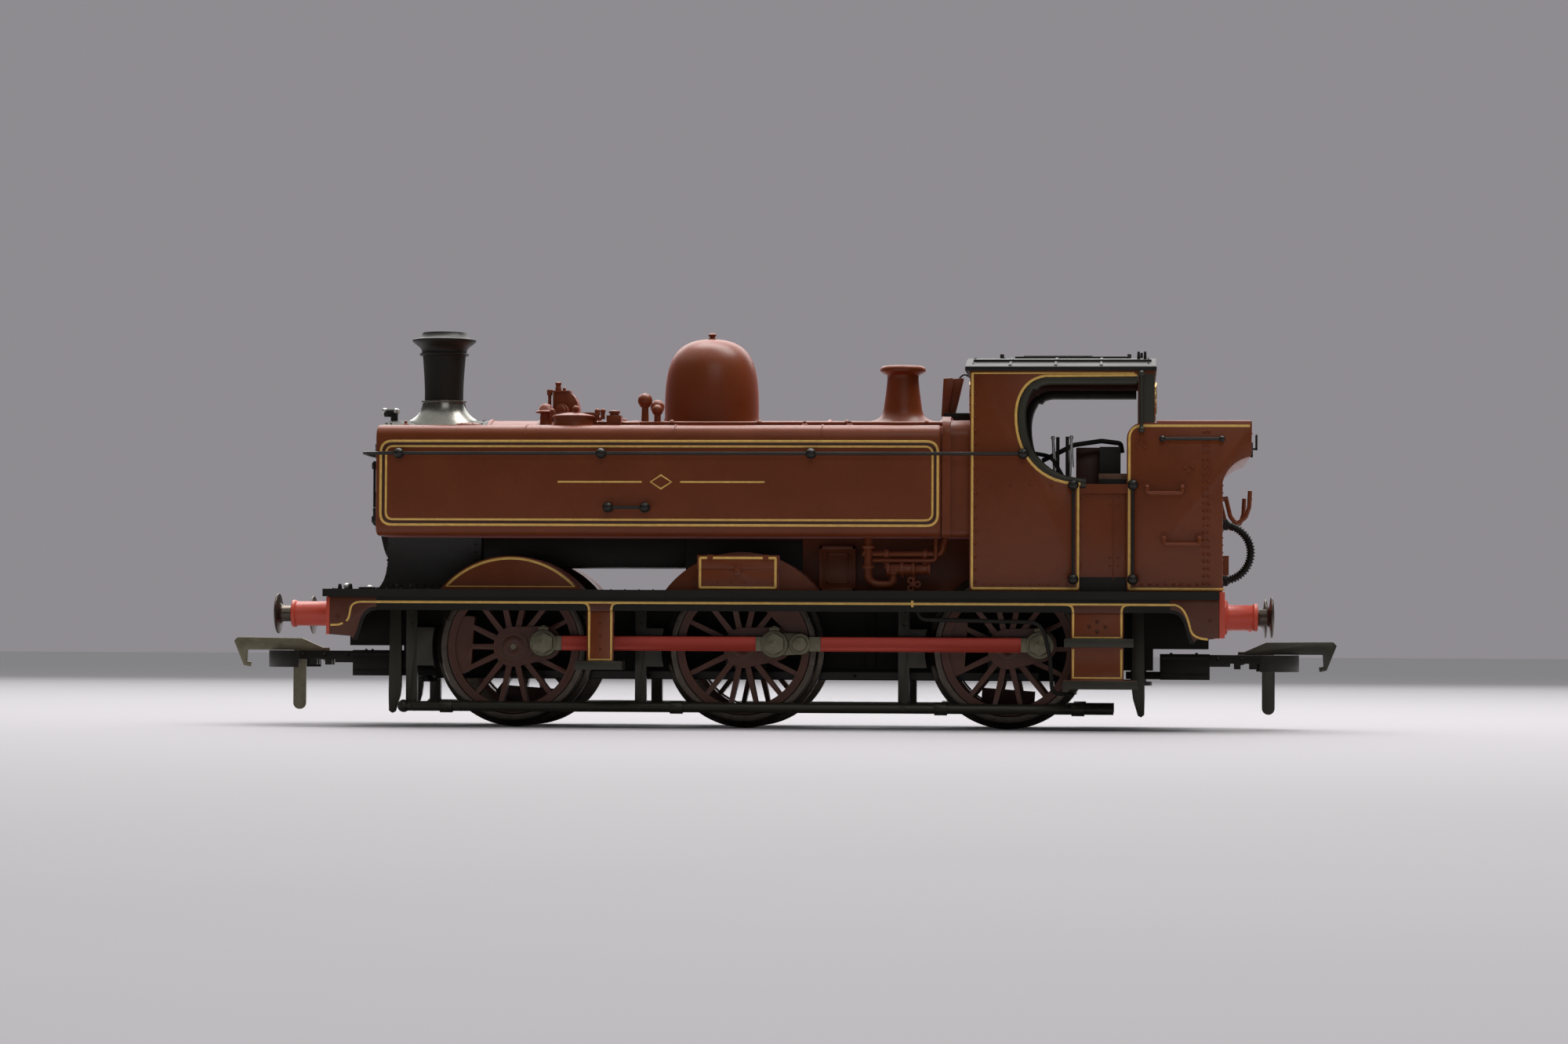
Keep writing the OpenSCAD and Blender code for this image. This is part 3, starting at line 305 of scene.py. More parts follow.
def rivets(bm, places, facing="-y", radius=None):
    """Adds low domed heads at the places, standing out along facing."""
    size = radius or bpy.context.scene.loco_sizes.rivet / MM
    for place in places:
        bmesh.ops.create_cone(
            bm, cap_ends=True, segments=8, radius1=size, radius2=size * 0.5, depth=size * 0.8,
            matrix=Matrix.Translation(place) @ AIM[facing]
            @ Matrix.Translation((0, 0, size * 0.36)))


def row(start, end, count):
    """Evenly spaced points from start to end."""
    a, b = Vector(start), Vector(end)
    return [tuple(a.lerp(b, i / (count - 1))) for i in range(count)]


def soften(bm, width, segments=2, angle=38.0):
    """Rounds every edge that is sharper than the angle."""
    limit = math.radians(angle)
    edges = [edge for edge in bm.edges
             if edge.is_manifold and edge.calc_face_angle(0.0) > limit]
    if edges:
        bmesh.ops.bevel(bm, geom=edges, offset=width, offset_type="OFFSET",
                        affect="EDGES", segments=segments, profile=0.5, material=-1,
                        clamp_overlap=True, loop_slide=True)


def frame_copy(node):
    """A merged copy of a CAD node's mesh."""
    bm = bmesh.new()
    bm.from_mesh(NODES[node].data)
    bmesh.ops.scale(bm, vec=(1 / MM,) * 3, verts=bm.verts)
    bmesh.ops.remove_doubles(bm, verts=bm.verts, dist=0.002)
    bmesh.ops.dissolve_degenerate(bm, dist=0.001, edges=bm.edges)
    bmesh.ops.dissolve_limit(bm, angle_limit=math.radians(0.6), use_dissolve_boundaries=False,
                             verts=bm.verts, edges=bm.edges)
    return bm


def piece(bm, name, finish, body="root", replaces=(), edge=0.0, corners=2,
          sharp=38.0):
    """Makes the finished mesh into a piece that rides on a body."""
    if edge:
        soften(bm, edge, corners)
    bmesh.ops.scale(bm, vec=(MM,) * 3, verts=bm.verts)
    bmesh.ops.recalc_face_normals(bm, faces=bm.faces)
    mesh = bpy.data.meshes.new(name)
    bm.to_mesh(mesh)
    bm.free()
    if "custom_normal" in mesh.attributes:
        mesh.attributes.remove(mesh.attributes["custom_normal"])
    mesh.polygons.foreach_set("use_smooth", [True] * len(mesh.polygons))
    mesh.set_sharp_from_angle(angle=math.radians(sharp))
    mesh.materials.clear()
    mesh.materials.append(finish)
    obj = bpy.data.objects.new(name, mesh)
    bpy.context.scene.collection.objects.link(obj)
    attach(obj, body)
    if replaces:
        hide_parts(*replaces)
    return obj


def eased_copy(node, finish, edge=None, corners=2):
    """The CAD node's own shape with its edges rounded, in its place."""
    width = bpy.context.scene.loco_sizes.edge / MM if edge is None else edge
    bm = frame_copy(node)
    return piece(bm, node + "_finished", finish, BODY_OF[node], (node,), width, corners)


def paint_node(node, finish):
    """Gives a shown CAD node its material."""
    materials = NODES[node].data.materials
    materials.clear()
    materials.append(finish)


# ---- shader groups and materials ----

def new_group(name, inputs, outputs):
    """A shader group with its sockets; returns the group, its input and its output node."""
    group = bpy.data.node_groups.new(name, "ShaderNodeTree")
    for label, kind, value in inputs:
        socket = group.interface.new_socket(name=label, in_out="INPUT", socket_type=kind)
        socket.default_value = value
    for label, kind in outputs:
        group.interface.new_socket(name=label, in_out="OUTPUT", socket_type=kind)
    return group, group.nodes.new("NodeGroupInput"), group.nodes.new("NodeGroupOutput")


def noise(tree, coords, scale, detail=2.0, rough=0.5):
    """A noise texture on the given coordinates."""
    node = tree.nodes.new("ShaderNodeTexNoise")
    node.inputs["Detail"].default_value = detail
    node.inputs["Roughness"].default_value = rough
    if isinstance(scale, (int, float)):
        node.inputs["Scale"].default_value = scale
    else:
        tree.links.new(scale, node.inputs["Scale"])
    tree.links.new(coords, node.inputs["Vector"])
    return node.outputs["Fac"]


def remap(tree, value, low, high, to_low, to_high):
    """Maps a value from one range to another; each end is a number or a socket."""
    node = tree.nodes.new("ShaderNodeMapRange")
    tree.links.new(value, node.inputs["Value"])
    ends = zip(("From Min", "From Max", "To Min", "To Max"), (low, high, to_low, to_high))
    for label, end in ends:
        if isinstance(end, (int, float)):
            node.inputs[label].default_value = end
        else:
            tree.links.new(end, node.inputs[label])
    return node.outputs["Result"]


def sums(tree, operation, a, b):
    """One sum of two values."""
    node = tree.nodes.new("ShaderNodeMath")
    node.operation = operation
    for socket, value in zip(node.inputs, (a, b)):
        if isinstance(value, (int, float)):
            socket.default_value = value
        else:
            tree.links.new(value, socket)
    return node.outputs["Value"]


def tone_group():
    """Slow changes of colour and gloss over a painted or moulded surface."""
    if "paint_tone" in bpy.data.node_groups:
        return bpy.data.node_groups["paint_tone"]
    group, given, out = new_group(
        "paint_tone",
        (("Colour", "NodeSocketColor", (0.5, 0.5, 0.5, 1)), ("Patch scale", "NodeSocketFloat", 180.0),
         ("Amount", "NodeSocketFloat", 0.1), ("Gloss", "NodeSocketFloat", 0.4),
         ("Gloss change", "NodeSocketFloat", 0.05)),
        (("Colour", "NodeSocketColor"), ("Roughness", "NodeSocketFloat")))
    coords = group.nodes.new("ShaderNodeTexCoord").outputs["Object"]
    patch = noise(group, coords, given.outputs["Patch scale"], 4.0, 0.6)
    speck = noise(group, coords, 5200.0, 2.0, 0.7)
    both = sums(group, "ADD", sums(group, "MULTIPLY", patch, 0.7), sums(group, "MULTIPLY", speck, 0.3))
    low = sums(group, "SUBTRACT", 1.0, given.outputs["Amount"])
    high = sums(group, "ADD", 1.0, given.outputs["Amount"])
    gain = remap(group, both, 0.35, 0.65, low, high)
    shade = group.nodes.new("ShaderNodeVectorMath")
    shade.operation = "SCALE"
    group.links.new(given.outputs["Colour"], shade.inputs[0])
    group.links.new(gain, shade.inputs["Scale"])
    group.links.new(shade.outputs["Vector"], out.inputs["Colour"])
    swing = sums(group, "MULTIPLY", sums(group, "SUBTRACT", patch, 0.5), given.outputs["Gloss change"])
    wide = sums(group, "MULTIPLY", swing, 4.0)
    group.links.new(sums(group, "ADD", given.outputs["Gloss"], wide), out.inputs["Roughness"])
    return group


def dust_and_top_light_group():
    """Fine flecks everywhere and a colour laid on faces that look up: settled dirt on most finishes, a
    painted top highlight on the maroon paint.
    """
    if "dust_and_top_light" in bpy.data.node_groups:
        return bpy.data.node_groups["dust_and_top_light"]
    group, given, out = new_group(
        "dust_and_top_light", (("Amount", "NodeSocketFloat", 0.2),), (("Mask", "NodeSocketFloat"),))
    coords = group.nodes.new("ShaderNodeTexCoord").outputs["Object"]
    normal = group.nodes.new("ShaderNodeNewGeometry").outputs["Normal"]
    parts = group.nodes.new("ShaderNodeSeparateXYZ")
    group.links.new(normal, parts.inputs["Vector"])
    up = remap(group, parts.outputs["Z"], 0.25, 1.0, 0.0, 1.0)
    cloud = remap(group, noise(group, coords, 620.0, 5.0, 0.65), 0.36, 0.72, 0.25, 1.0)
    flecks = remap(group, noise(group, coords, 7200.0, 1.0, 0.5), 0.66, 0.74, 0.0, 1.0)
    # Upward faces get the colour: settled dirt on most finishes, a painted top highlight on the maroon
    upward_dust_and_light = sums(group, "MULTIPLY", up, cloud)
    total = sums(group, "ADD", upward_dust_and_light, sums(group, "MULTIPLY", flecks, 0.35))
    group.links.new(sums(group, "MULTIPLY", total, given.outputs["Amount"]), out.inputs["Mask"])
    return group


def grain_group():
    """Height of the fine texture that paint and mouldings have."""
    if "fine_grain" in bpy.data.node_groups:
        return bpy.data.node_groups["fine_grain"]
    group, given, out = new_group(
        "fine_grain", (("Scale", "NodeSocketFloat", 6000.0), ("Peel", "NodeSocketFloat", 0.3)),
        (("Height", "NodeSocketFloat"),))
    coords = group.nodes.new("ShaderNodeTexCoord").outputs["Object"]
    fine = noise(group, coords, given.outputs["Scale"], 3.0, 0.6)
    peel = noise(group, coords, sums(group, "MULTIPLY", given.outputs["Scale"], 0.16), 2.0, 0.5)
    broad = sums(group, "MULTIPLY", peel, given.outputs["Peel"])
    group.links.new(sums(group, "ADD", fine, broad), out.inputs["Height"])
    return group


def streak_group():
    """Drawn streaks along one direction on bare metal."""
    if "drawn_streaks" in bpy.data.node_groups:
        return bpy.data.node_groups["drawn_streaks"]
    group, given, out = new_group(
        "drawn_streaks", (("Stretch", "NodeSocketVector", (300, 9000, 9000)),),
        (("Mask", "NodeSocketFloat"),))
    coords = group.nodes.new("ShaderNodeTexCoord").outputs["Object"]
    longer = group.nodes.new("ShaderNodeVectorMath")
    longer.operation = "MULTIPLY"
    group.links.new(coords, longer.inputs[0])
    group.links.new(given.outputs["Stretch"], longer.inputs[1])
    group.links.new(noise(group, longer.outputs["Vector"], 1.0, 3.0, 0.6), out.inputs["Mask"])
    return group


def use_group(tree, group, **values):
    """Places a group and sets its inputs."""
    node = tree.nodes.new("ShaderNodeGroup")
    node.node_tree = group
    for label, value in values.items():
        node.inputs[label.replace("_", " ")].default_value = value
    return node


def make_finish(name, colour, gloss, metal=0.0, amount=0.12, patch=180.0, dust_and_light=0.15,
                dust_and_light_colour=(0.32, 0.27, 0.22), grain=6000.0, peel=0.35, bump=0.25,
                coat=0.0, specular=0.5, streaks=None, gloss_change=0.05, sheen=0.0):
    """A satin paint, plastic or metal with tone, grain, and a colour on upward faces that is settled dirt
    on most finishes and a painted top highlight on the maroon.
    """
    if name in bpy.data.materials:
        return bpy.data.materials[name]
    finish = bpy.data.materials.new(name)
    finish.use_nodes = True
    tree = finish.node_tree
    shader = tree.nodes["Principled BSDF"]
    shader.inputs["Metallic"].default_value = metal
    shader.inputs["Coat Weight"].default_value = coat
    shader.inputs["Coat Roughness"].default_value = 0.12
    shader.inputs["Specular IOR Level"].default_value = specular
    shader.inputs["Sheen Weight"].default_value = sheen
    shader.inputs["Sheen Roughness"].default_value = 0.35
    shader.inputs["Sheen Tint"].default_value = (1.0, 0.42, 0.44, 1)
    tone = use_group(tree, tone_group(), Patch_scale=patch, Amount=amount, Gloss=gloss,
                     Gloss_change=gloss_change)
    tone.inputs["Colour"].default_value = (*colour, 1)
    dust_and_light_node = use_group(tree, dust_and_top_light_group(), Amount=dust_and_light)
    # Mixes in the upward colour: a painted top highlight on the maroon, settled dirt on the other finishes
    over = tree.nodes.new("ShaderNodeMix")
    over.data_type = "RGBA"
    over.inputs["B"].default_value = (*dust_and_light_colour, 1)
    tree.links.new(dust_and_light_node.outputs["Mask"], over.inputs["Factor"])
    tree.links.new(tone.outputs["Colour"], over.inputs["A"])
    tree.links.new(over.outputs["Result"], shader.inputs["Base Color"])
    rough = sums(tree, "ADD", tone.outputs["Roughness"],
                 sums(tree, "MULTIPLY", dust_and_light_node.outputs["Mask"], 0.5))
    height = use_group(tree, grain_group(), Scale=grain, Peel=peel).outputs["Height"]
    if streaks:
        lines = use_group(tree, streak_group(), Stretch=streaks).outputs["Mask"]
        rough = sums(tree, "ADD", rough, remap(tree, lines, 0.3, 0.7, -0.10, 0.12))
        height = sums(tree, "ADD", height, lines)
    tree.links.new(rough, shader.inputs["Roughness"])
    raised = tree.nodes.new("ShaderNodeBump")
    raised.inputs["Strength"].default_value = bump
    raised.inputs["Distance"].default_value = 0.00003
    tree.links.new(height, raised.inputs["Height"])
    tree.links.new(raised.outputs["Normal"], shader.inputs["Normal"])
    return finish


def glass_finish():
    """Thin clear window plastic with faint smears."""
    if "window_clear" in bpy.data.materials:
        return bpy.data.materials["window_clear"]
    finish = bpy.data.materials.new("window_clear")
    finish.use_nodes = True
    tree = finish.node_tree
    shader = tree.nodes["Principled BSDF"]
    shader.inputs["Base Color"].default_value = (0.86, 0.9, 0.9, 1)
    shader.inputs["Transmission Weight"].default_value = 1.0
    shader.inputs["IOR"].default_value = 1.46
    coords = tree.nodes.new("ShaderNodeTexCoord").outputs["Object"]
    smear = remap(tree, noise(tree, coords, 900.0, 4.0), 0.4, 0.7, 0.02, 0.14)
    tree.links.new(smear, shader.inputs["Roughness"])
    return finish


def finish(kind):
    """The material of that kind, made when it is first asked for."""
    paints = bpy.context.scene.loco_paints
    maroon, black = tuple(paints.maroon), tuple(paints.black)
    table = {
        # The pale pink laid on the maroon's upward faces is a painted top highlight, not dirt
        "maroon": dict(colour=maroon, gloss=0.34, dust_and_light=0.20, dust_and_light_colour=(0.60, 0.20, 0.18),
                       specular=0.32, amount=0.09, gloss_change=0.03, sheen=0.26),
        # A darker copy of the maroon that paints in shade: on the valance facing and the reverser box in
        # the cab
        "maroon_painted_shade": dict(colour=tuple(c * 0.55 for c in maroon), gloss=0.46, dust_and_light=0.12),
        "black": dict(colour=black, gloss=0.46, dust_and_light=0.12, dust_and_light_colour=(0.11, 0.105, 0.078),
                      specular=0.25),
        "black_matt": dict(colour=tuple(c * 0.6 for c in black), gloss=0.60, dust_and_light=0.10, specular=0.15,
                           dust_and_light_colour=(0.13, 0.12, 0.10)),
        "gunmetal": dict(colour=(0.19, 0.185, 0.16), gloss=0.26, metal=0.8, dust_and_light=0.12,
                         coat=0.3, bump=0.15, amount=0.2, patch=900.0),
        "sooty": dict(colour=black, gloss=0.44, dust_and_light=0.42, dust_and_light_colour=(0.22, 0.21, 0.17),
                      grain=3800.0, bump=0.8, amount=0.2),
        "olive_black": dict(colour=(0.040, 0.038, 0.026), gloss=0.38, metal=0.3, dust_and_light=0.16,
                            dust_and_light_colour=(0.15, 0.14, 0.10)),
        "red": dict(colour=tuple(paints.red), gloss=0.38, dust_and_light=0.06, amount=0.07),
        "rod_red": dict(colour=tuple(paints.rod_red), gloss=0.40, dust_and_light=0.04, amount=0.08),
        "gold": dict(colour=tuple(paints.gold), gloss=0.45, dust_and_light=0.0, amount=0.14, patch=1400.0,
                     bump=0.1),
        "line_black": dict(colour=(0.022, 0.010, 0.006), gloss=0.45, dust_and_light=0.0, bump=0.1),
        "wheel": dict(colour=tuple(paints.wheel), gloss=0.42, dust_and_light=0.10),
        "tyre": dict(colour=(0.105, 0.088, 0.070), gloss=0.34, metal=0.85, dust_and_light=0.10,
                     amount=0.25, patch=700.0, streaks=(2500.0, 9000.0, 2500.0)),
        "nickel": dict(colour=(0.200, 0.185, 0.120), gloss=0.44, metal=0.45, dust_and_light=0.10,
                       amount=0.2, patch=900.0),
        "steel": dict(colour=(0.56, 0.56, 0.54), gloss=0.28, metal=1.0, dust_and_light=0.06, amount=0.1,
                      streaks=(600.0, 9000.0, 9000.0)),
        "brass": dict(colour=(0.66, 0.43, 0.16), gloss=0.28, metal=1.0, dust_and_light=0.05, amount=0.12),
        "wire": dict(colour=(0.026, 0.025, 0.022), gloss=0.34, metal=0.55, dust_and_light=0.12,
                     dust_and_light_colour=(0.14, 0.13, 0.11)),
        "board": dict(colour=(0.02, 0.14, 0.05), gloss=0.30, dust_and_light=0.05, coat=0.4),
        "gear": dict(colour=(0.66, 0.60, 0.46), gloss=0.42, dust_and_light=0.04, amount=0.06),
        "coal": dict(colour=(0.012, 0.012, 0.012), gloss=0.38, dust_and_light=0.10, amount=0.4,
                     patch=900.0, bump=0.9, dust_and_light_colour=(0.07, 0.07, 0.07)),
        "wood": dict(colour=(0.13, 0.060, 0.030), gloss=0.55, dust_and_light=0.10, amount=0.3,
                     patch=400.0),
    }
    return make_finish(kind, **table[kind])


# ---- the studio ----

def build_stage():
    """Makes the floor, the lights, the sky and the camera."""
    scene = bpy.context.scene
    studio = scene.loco_studio
    bm = bmesh.new()
    bmesh.ops.create_circle(bm, cap_ends=True, segments=96, radius=9.0)
    mesh = bpy.data.meshes.new("floor")
    bm.to_mesh(mesh)
    bm.free()
    floor = bpy.data.objects.new("floor", mesh)
    scene.collection.objects.link(floor)
    mesh.materials.append(make_finish("floor_paper", tuple(studio.floor), 0.75, dust_and_light=0.0,
                                      amount=0.02, patch=9.0, grain=2500.0, bump=0.15,
                                      specular=0.2))

    world = bpy.data.worlds.new("studio")
    scene.world = world
    world.use_nodes = True
    tree = world.node_tree
    tree.nodes.clear()
    ray = tree.nodes.new("ShaderNodeLightPath").outputs["Is Camera Ray"]
    seen = tree.nodes.new("ShaderNodeBackground")
    seen.inputs["Color"].default_value = (0.275, 0.26, 0.28, 1)
    seen.inputs["Strength"].default_value = 1.0
    felt = tree.nodes.new("ShaderNodeBackground")
    felt.inputs["Color"].default_value = (0.90, 0.88, 0.88, 1)
    felt.inputs["Strength"].default_value = 0.07
    both = tree.nodes.new("ShaderNodeMixShader")
    end = tree.nodes.new("ShaderNodeOutputWorld")
    tree.links.new(ray, both.inputs["Fac"])
    tree.links.new(felt.outputs["Background"], both.inputs[1])
    tree.links.new(seen.outputs["Background"], both.inputs[2])
    tree.links.new(both.outputs["Shader"], end.inputs["Surface"])

    def soft_light(name, power, size, at, target, colour=(1, 1, 1)):
        light = bpy.data.lights.new(name, "AREA")
        light.shape = "RECTANGLE"
        light.size, light.size_y = size
        light.energy = power
        light.color = colour
        lamp = bpy.data.objects.new(name, light)
        lamp.location = at
        way = Vector(target) - Vector(at)
        lamp.rotation_euler = way.to_track_quat("-Z", "Y").to_euler()
        scene.collection.objects.link(lamp)

    soft_light("key_light", studio.key, (0.60, 0.22), (0.06, 0.12, 0.50), (0.0, 0.0, 0.03),
               (1.0, 0.96, 0.95))
    soft_light("fill_light", studio.fill, (0.5, 0.25), (0.20, -0.80, 0.55), (0.0, 0.0, 0.02))
    soft_light("back_light", studio.key * 0.7, (1.0, 0.35), (0.0, 0.62, 0.40), (0.0, 0.0, 0.03))
    above = bpy.data.lights.new("broad_light", "SUN")
    above.energy = studio.sky
    above.angle = math.radians(100)
    lamp = bpy.data.objects.new("broad_light", above)
    lamp.rotation_euler = (math.radians(-14), math.radians(-6), 0)
    scene.collection.objects.link(lamp)

    lens = bpy.data.cameras.new("camera")
    lens.lens = 96.08
    lens.sensor_width = 36.0
    lens.clip_start = 0.01
    lens.clip_end = 50.0
    camera = bpy.data.objects.new("camera", lens)
    turn = (Matrix.Rotation(math.radians(4.687), 4, "Z")
            @ Matrix.Rotation(math.radians(91.765), 4, "X")
            @ Matrix.Rotation(math.radians(0.285), 4, "Z"))
    camera.matrix_world = Matrix.Translation((0.0440, -0.53094, 0.00963)) @ turn
    scene.collection.objects.link(camera)
    scene.camera = camera
    scene.view_settings.view_transform = "Standard"


# ---- boiler, tanks and smokebox ----

def tank_outline(grow=0.0):
    """The near tank's end shape in Y and Z."""
    low, high, outer = 23.75 - grow, TANK_TOP + grow, -SIDE_Y - grow
    return rounded([(-5.0, low), (outer, low), (outer, high), (-5.0, high)],
                   (0, 1.3 + grow, 1.85 + grow, 0), 8)


def build_tanks():
    """Makes both side tanks, their seams and their double lining."""
    for side, name in ((-1, "left"), (1, "right")):
        bm = bmesh.new()
        section(bm, tank_outline(), *TANK_X)
        front = [edge for edge in bm.edges if edge.is_manifold and edge.calc_face_angle(0) > 1.0]
        bmesh.ops.bevel(bm, geom=front, offset=0.38, affect="EDGES", segments=4, profile=0.5,
                        material=-1, clamp_overlap=True)
        shoulder = tank_outline(-0.04)
        top = [point for point in shoulder if point[1] > 35.9]
        for x in (-30.63, -11.93, 6.37):
            verts = tube(bm, [(x, y, z) for y, z in top], 0.16)
            squeeze(bm, verts, 0, x, 0.8)
        if side > 0:
            bmesh.ops.scale(bm, vec=(1, -1, 1), verts=bm.verts)
        piece(bm, name + "_tank_shell", finish("maroon"), "root",
              (name + "_tank",))

    gold, black = bmesh.new(), bmesh.new()
    face = -SIDE_Y - PRINT_LIFT
    outer = rounded([(-48.75, 25.14), (20.74, 25.14), (20.74, 35.56), (-48.75, 35.56)], 1.45, 7)
    inner = rounded([(-48.08, 25.80), (20.08, 25.80), (20.08, 34.90), (-48.08, 34.90)], 0.95, 7)
    between = rounded([(-48.42, 25.47), (20.41, 25.47), (20.41, 35.23), (-48.42, 35.23)], 1.2, 7)
    side_line(gold, outer, face, True)
    side_line(gold, inner, face, True, 0.25)
    side_line(black, between, face + 0.012, True, 0.22)
    # A plain rule with a lozenge stands where a name could go
    side_line(gold, [(-26.5, 30.5), (-16.0, 30.5)], face, False, 0.22)
    side_line(gold, [(-11.2, 30.5), (-0.7, 30.5)], face, False, 0.22)
    diamond = [(-14.9, 30.5), (-13.6, 31.35), (-12.3, 30.5), (-13.6, 29.65)]
    side_line(gold, diamond, face, True, 0.22)
    for bm, label, kind in ((gold, "tank_lining", "gold"), (black, "tank_lining_dark", "line_black")):
        mirrored(bm)
        piece(bm, label, finish(kind), "root")


def saddle(bm, verts, level, top):
    """Lets the foot of a turned mounting follow the barrel."""
    for vert in verts:
        drop = BARREL_R - math.sqrt(BARREL_R ** 2 - min(vert.co.y ** 2, 60))
        weight = min(1.0, max(0.0, (top - vert.co.z) / (top - level)))
        vert.co.z -= drop * weight


def build_smokebox():
    """Makes the smokebox, its door, rivets and fittings."""
    eased_copy("smokebox", finish("sooty"), 0.12)
    bm = bmesh.new()
    for turn in range(-120, 121, 10):
        t = math.radians(turn)
        y, z = math.sin(t) * 8.35, BARREL_Z + math.cos(t) * 8.35
        rivets(bm, [(-50.23, y, z)], "-x", 0.15)
    for z in range(8):
        rivets(bm, [(-49.35, -6.65, 17.9 + z), (-38.1, -6.65, 17.9 + z)], "-y", 0.15)
    for x in range(11):
        rivets(bm, [(-48.6 + x, -6.65, 17.7)], "-y", 0.15)
    for turn in (-20, -10, 0, 10, 20):
        t = math.radians(turn)
        for x in (-49.7, -38.0):
            rivets(bm, [(x, math.sin(t) * BARREL_R, BARREL_Z + math.cos(t) * BARREL_R)], "z", 0.15)
    mirrored(bm)
    # Steam lance cock and a small hook plate on the side of the smokebox
    for side in (-1, 1):
        rod(bm, (-49.9, side * 8.5, 27.2), (-50.9, side * 8.5, 27.2), 0.32)
        rod(bm, (-50.6, side * 8.5, 25.7), (-50.6, side * 8.5, 27.4), 0.2)
        ball(bm, (-50.6, side * 8.5, 25.5), 0.34)
    piece(bm, "smokebox_rivets", finish("black"), "root")

    bm = bmesh.new()
    face = -50.25
    ring = [(0, 0), (7.3, 0), (7.3, 0.22), (7.1, 0.34), (6.85, 0.38), (6.75, 0.30), (6.6, 0.42)]
    dish = bezier([(6.6, 0.42), (4.6, 1.05), (2.2, 1.28), (0, 1.3)], 14)[1:]
    lathe(bm, ring + dish, (face, 0, 29.4), "-x", 64)
    lathe(bm, [(0, 1.2), (0.75, 1.2), (0.75, 1.35), (0.5, 1.5), (0.42, 1.95), (0, 1.95)],
          (face, 0, 29.4), "-x", 24)
    for z in (32.8, 26.0):
        strap = rounded([(-7.4, z - 0.32), (1.2, z - 0.2), (2.1, z), (1.2, z + 0.2), (-7.4, z + 0.32)],
                        (0.1, 0, 0.2, 0, 0.1), 3)
        section(bm, strap, face - 1.08, face - 0.2)
        rod(bm, (face - 0.7, -7.55, z - 0.45), (face - 0.7, -7.55, z + 0.45), 0.3)
        rivets(bm, [(face - 1.08, y, z) for y in (-6.4, -4.6, -2.8, -1.0, 0.8)], "-x", 0.13)
    rod(bm, (face - 0.7, -7.55, 25.4), (face - 0.7, -7.55, 33.4), 0.16)
    rivets(bm, [(face - 0.3, 6.95 * math.cos(t), 29.4 + 6.95 * math.sin(t))
                for t in (math.radians(15 * k) for k in range(24))], "-x", 0.11)
    # Grab rail over the door handle
    rod(bm, (face - 1.3, -2.2, 31.0), (face - 1.3, 2.2, 31.0), 0.16)
    for y in (-2.2, 2.2):
        rod(bm, (face - 1.3, y, 31.0), (face - 0.8, y, 31.0), 0.2)
    piece(bm, "door_dished", finish("black"), "root", ("smokebox_door",), 0.05)

    bm = bmesh.new()
    for turn, reach in ((-100, 2.6), (-75, 2.3)):
        t = math.radians(turn)
        tip = (face - 1.85, reach * math.cos(t), 29.4 + reach * math.sin(t))
        rod(bm, (face - 1.85, 0, 29.4), tip, 0.2, 0.14)
        ball(bm, tip, 0.22)
    ball(bm, (face - 1.9, 0, 29.4), 0.36)
    piece(bm, "door_handles", finish("steel"), "root")

    eased_copy("boiler", finish("maroon"), 0.05)
    # Black blocks below the barrel and over the lower casing are painted shade under the tanks, not parts
    # of the model
    bm = bmesh.new()
    block(bm, (-37.28, -11.34), (-6.26, 6.26), (20.14, 23.68))
    block(bm, (-11.36, 3.4), (-6.72, 6.72), (17.14, 23.62))
    for side in (-1, 1):
        block(bm, (-9.6, -1.4), sorted((side * 6.7, side * 6.85)), (17.6, 21.6))
    piece(bm, "under_barrel_painted_shade", finish("black"), "root", (), 0.06)
    bm = bmesh.new()
    for x in (-37.0, -30.63, -11.93, 6.37, 20.6):
        band = [(x, BARREL_R * math.sin(t), BARREL_Z + BARREL_R * math.cos(t))
                for t in (math.radians(-34 + 68 * k / 16) for k in range(17))]
        squeeze(bm, tube(bm, band, 0.22), 0, x, 1.3)
    piece(bm, "boiler_bands", finish("maroon"), "root")


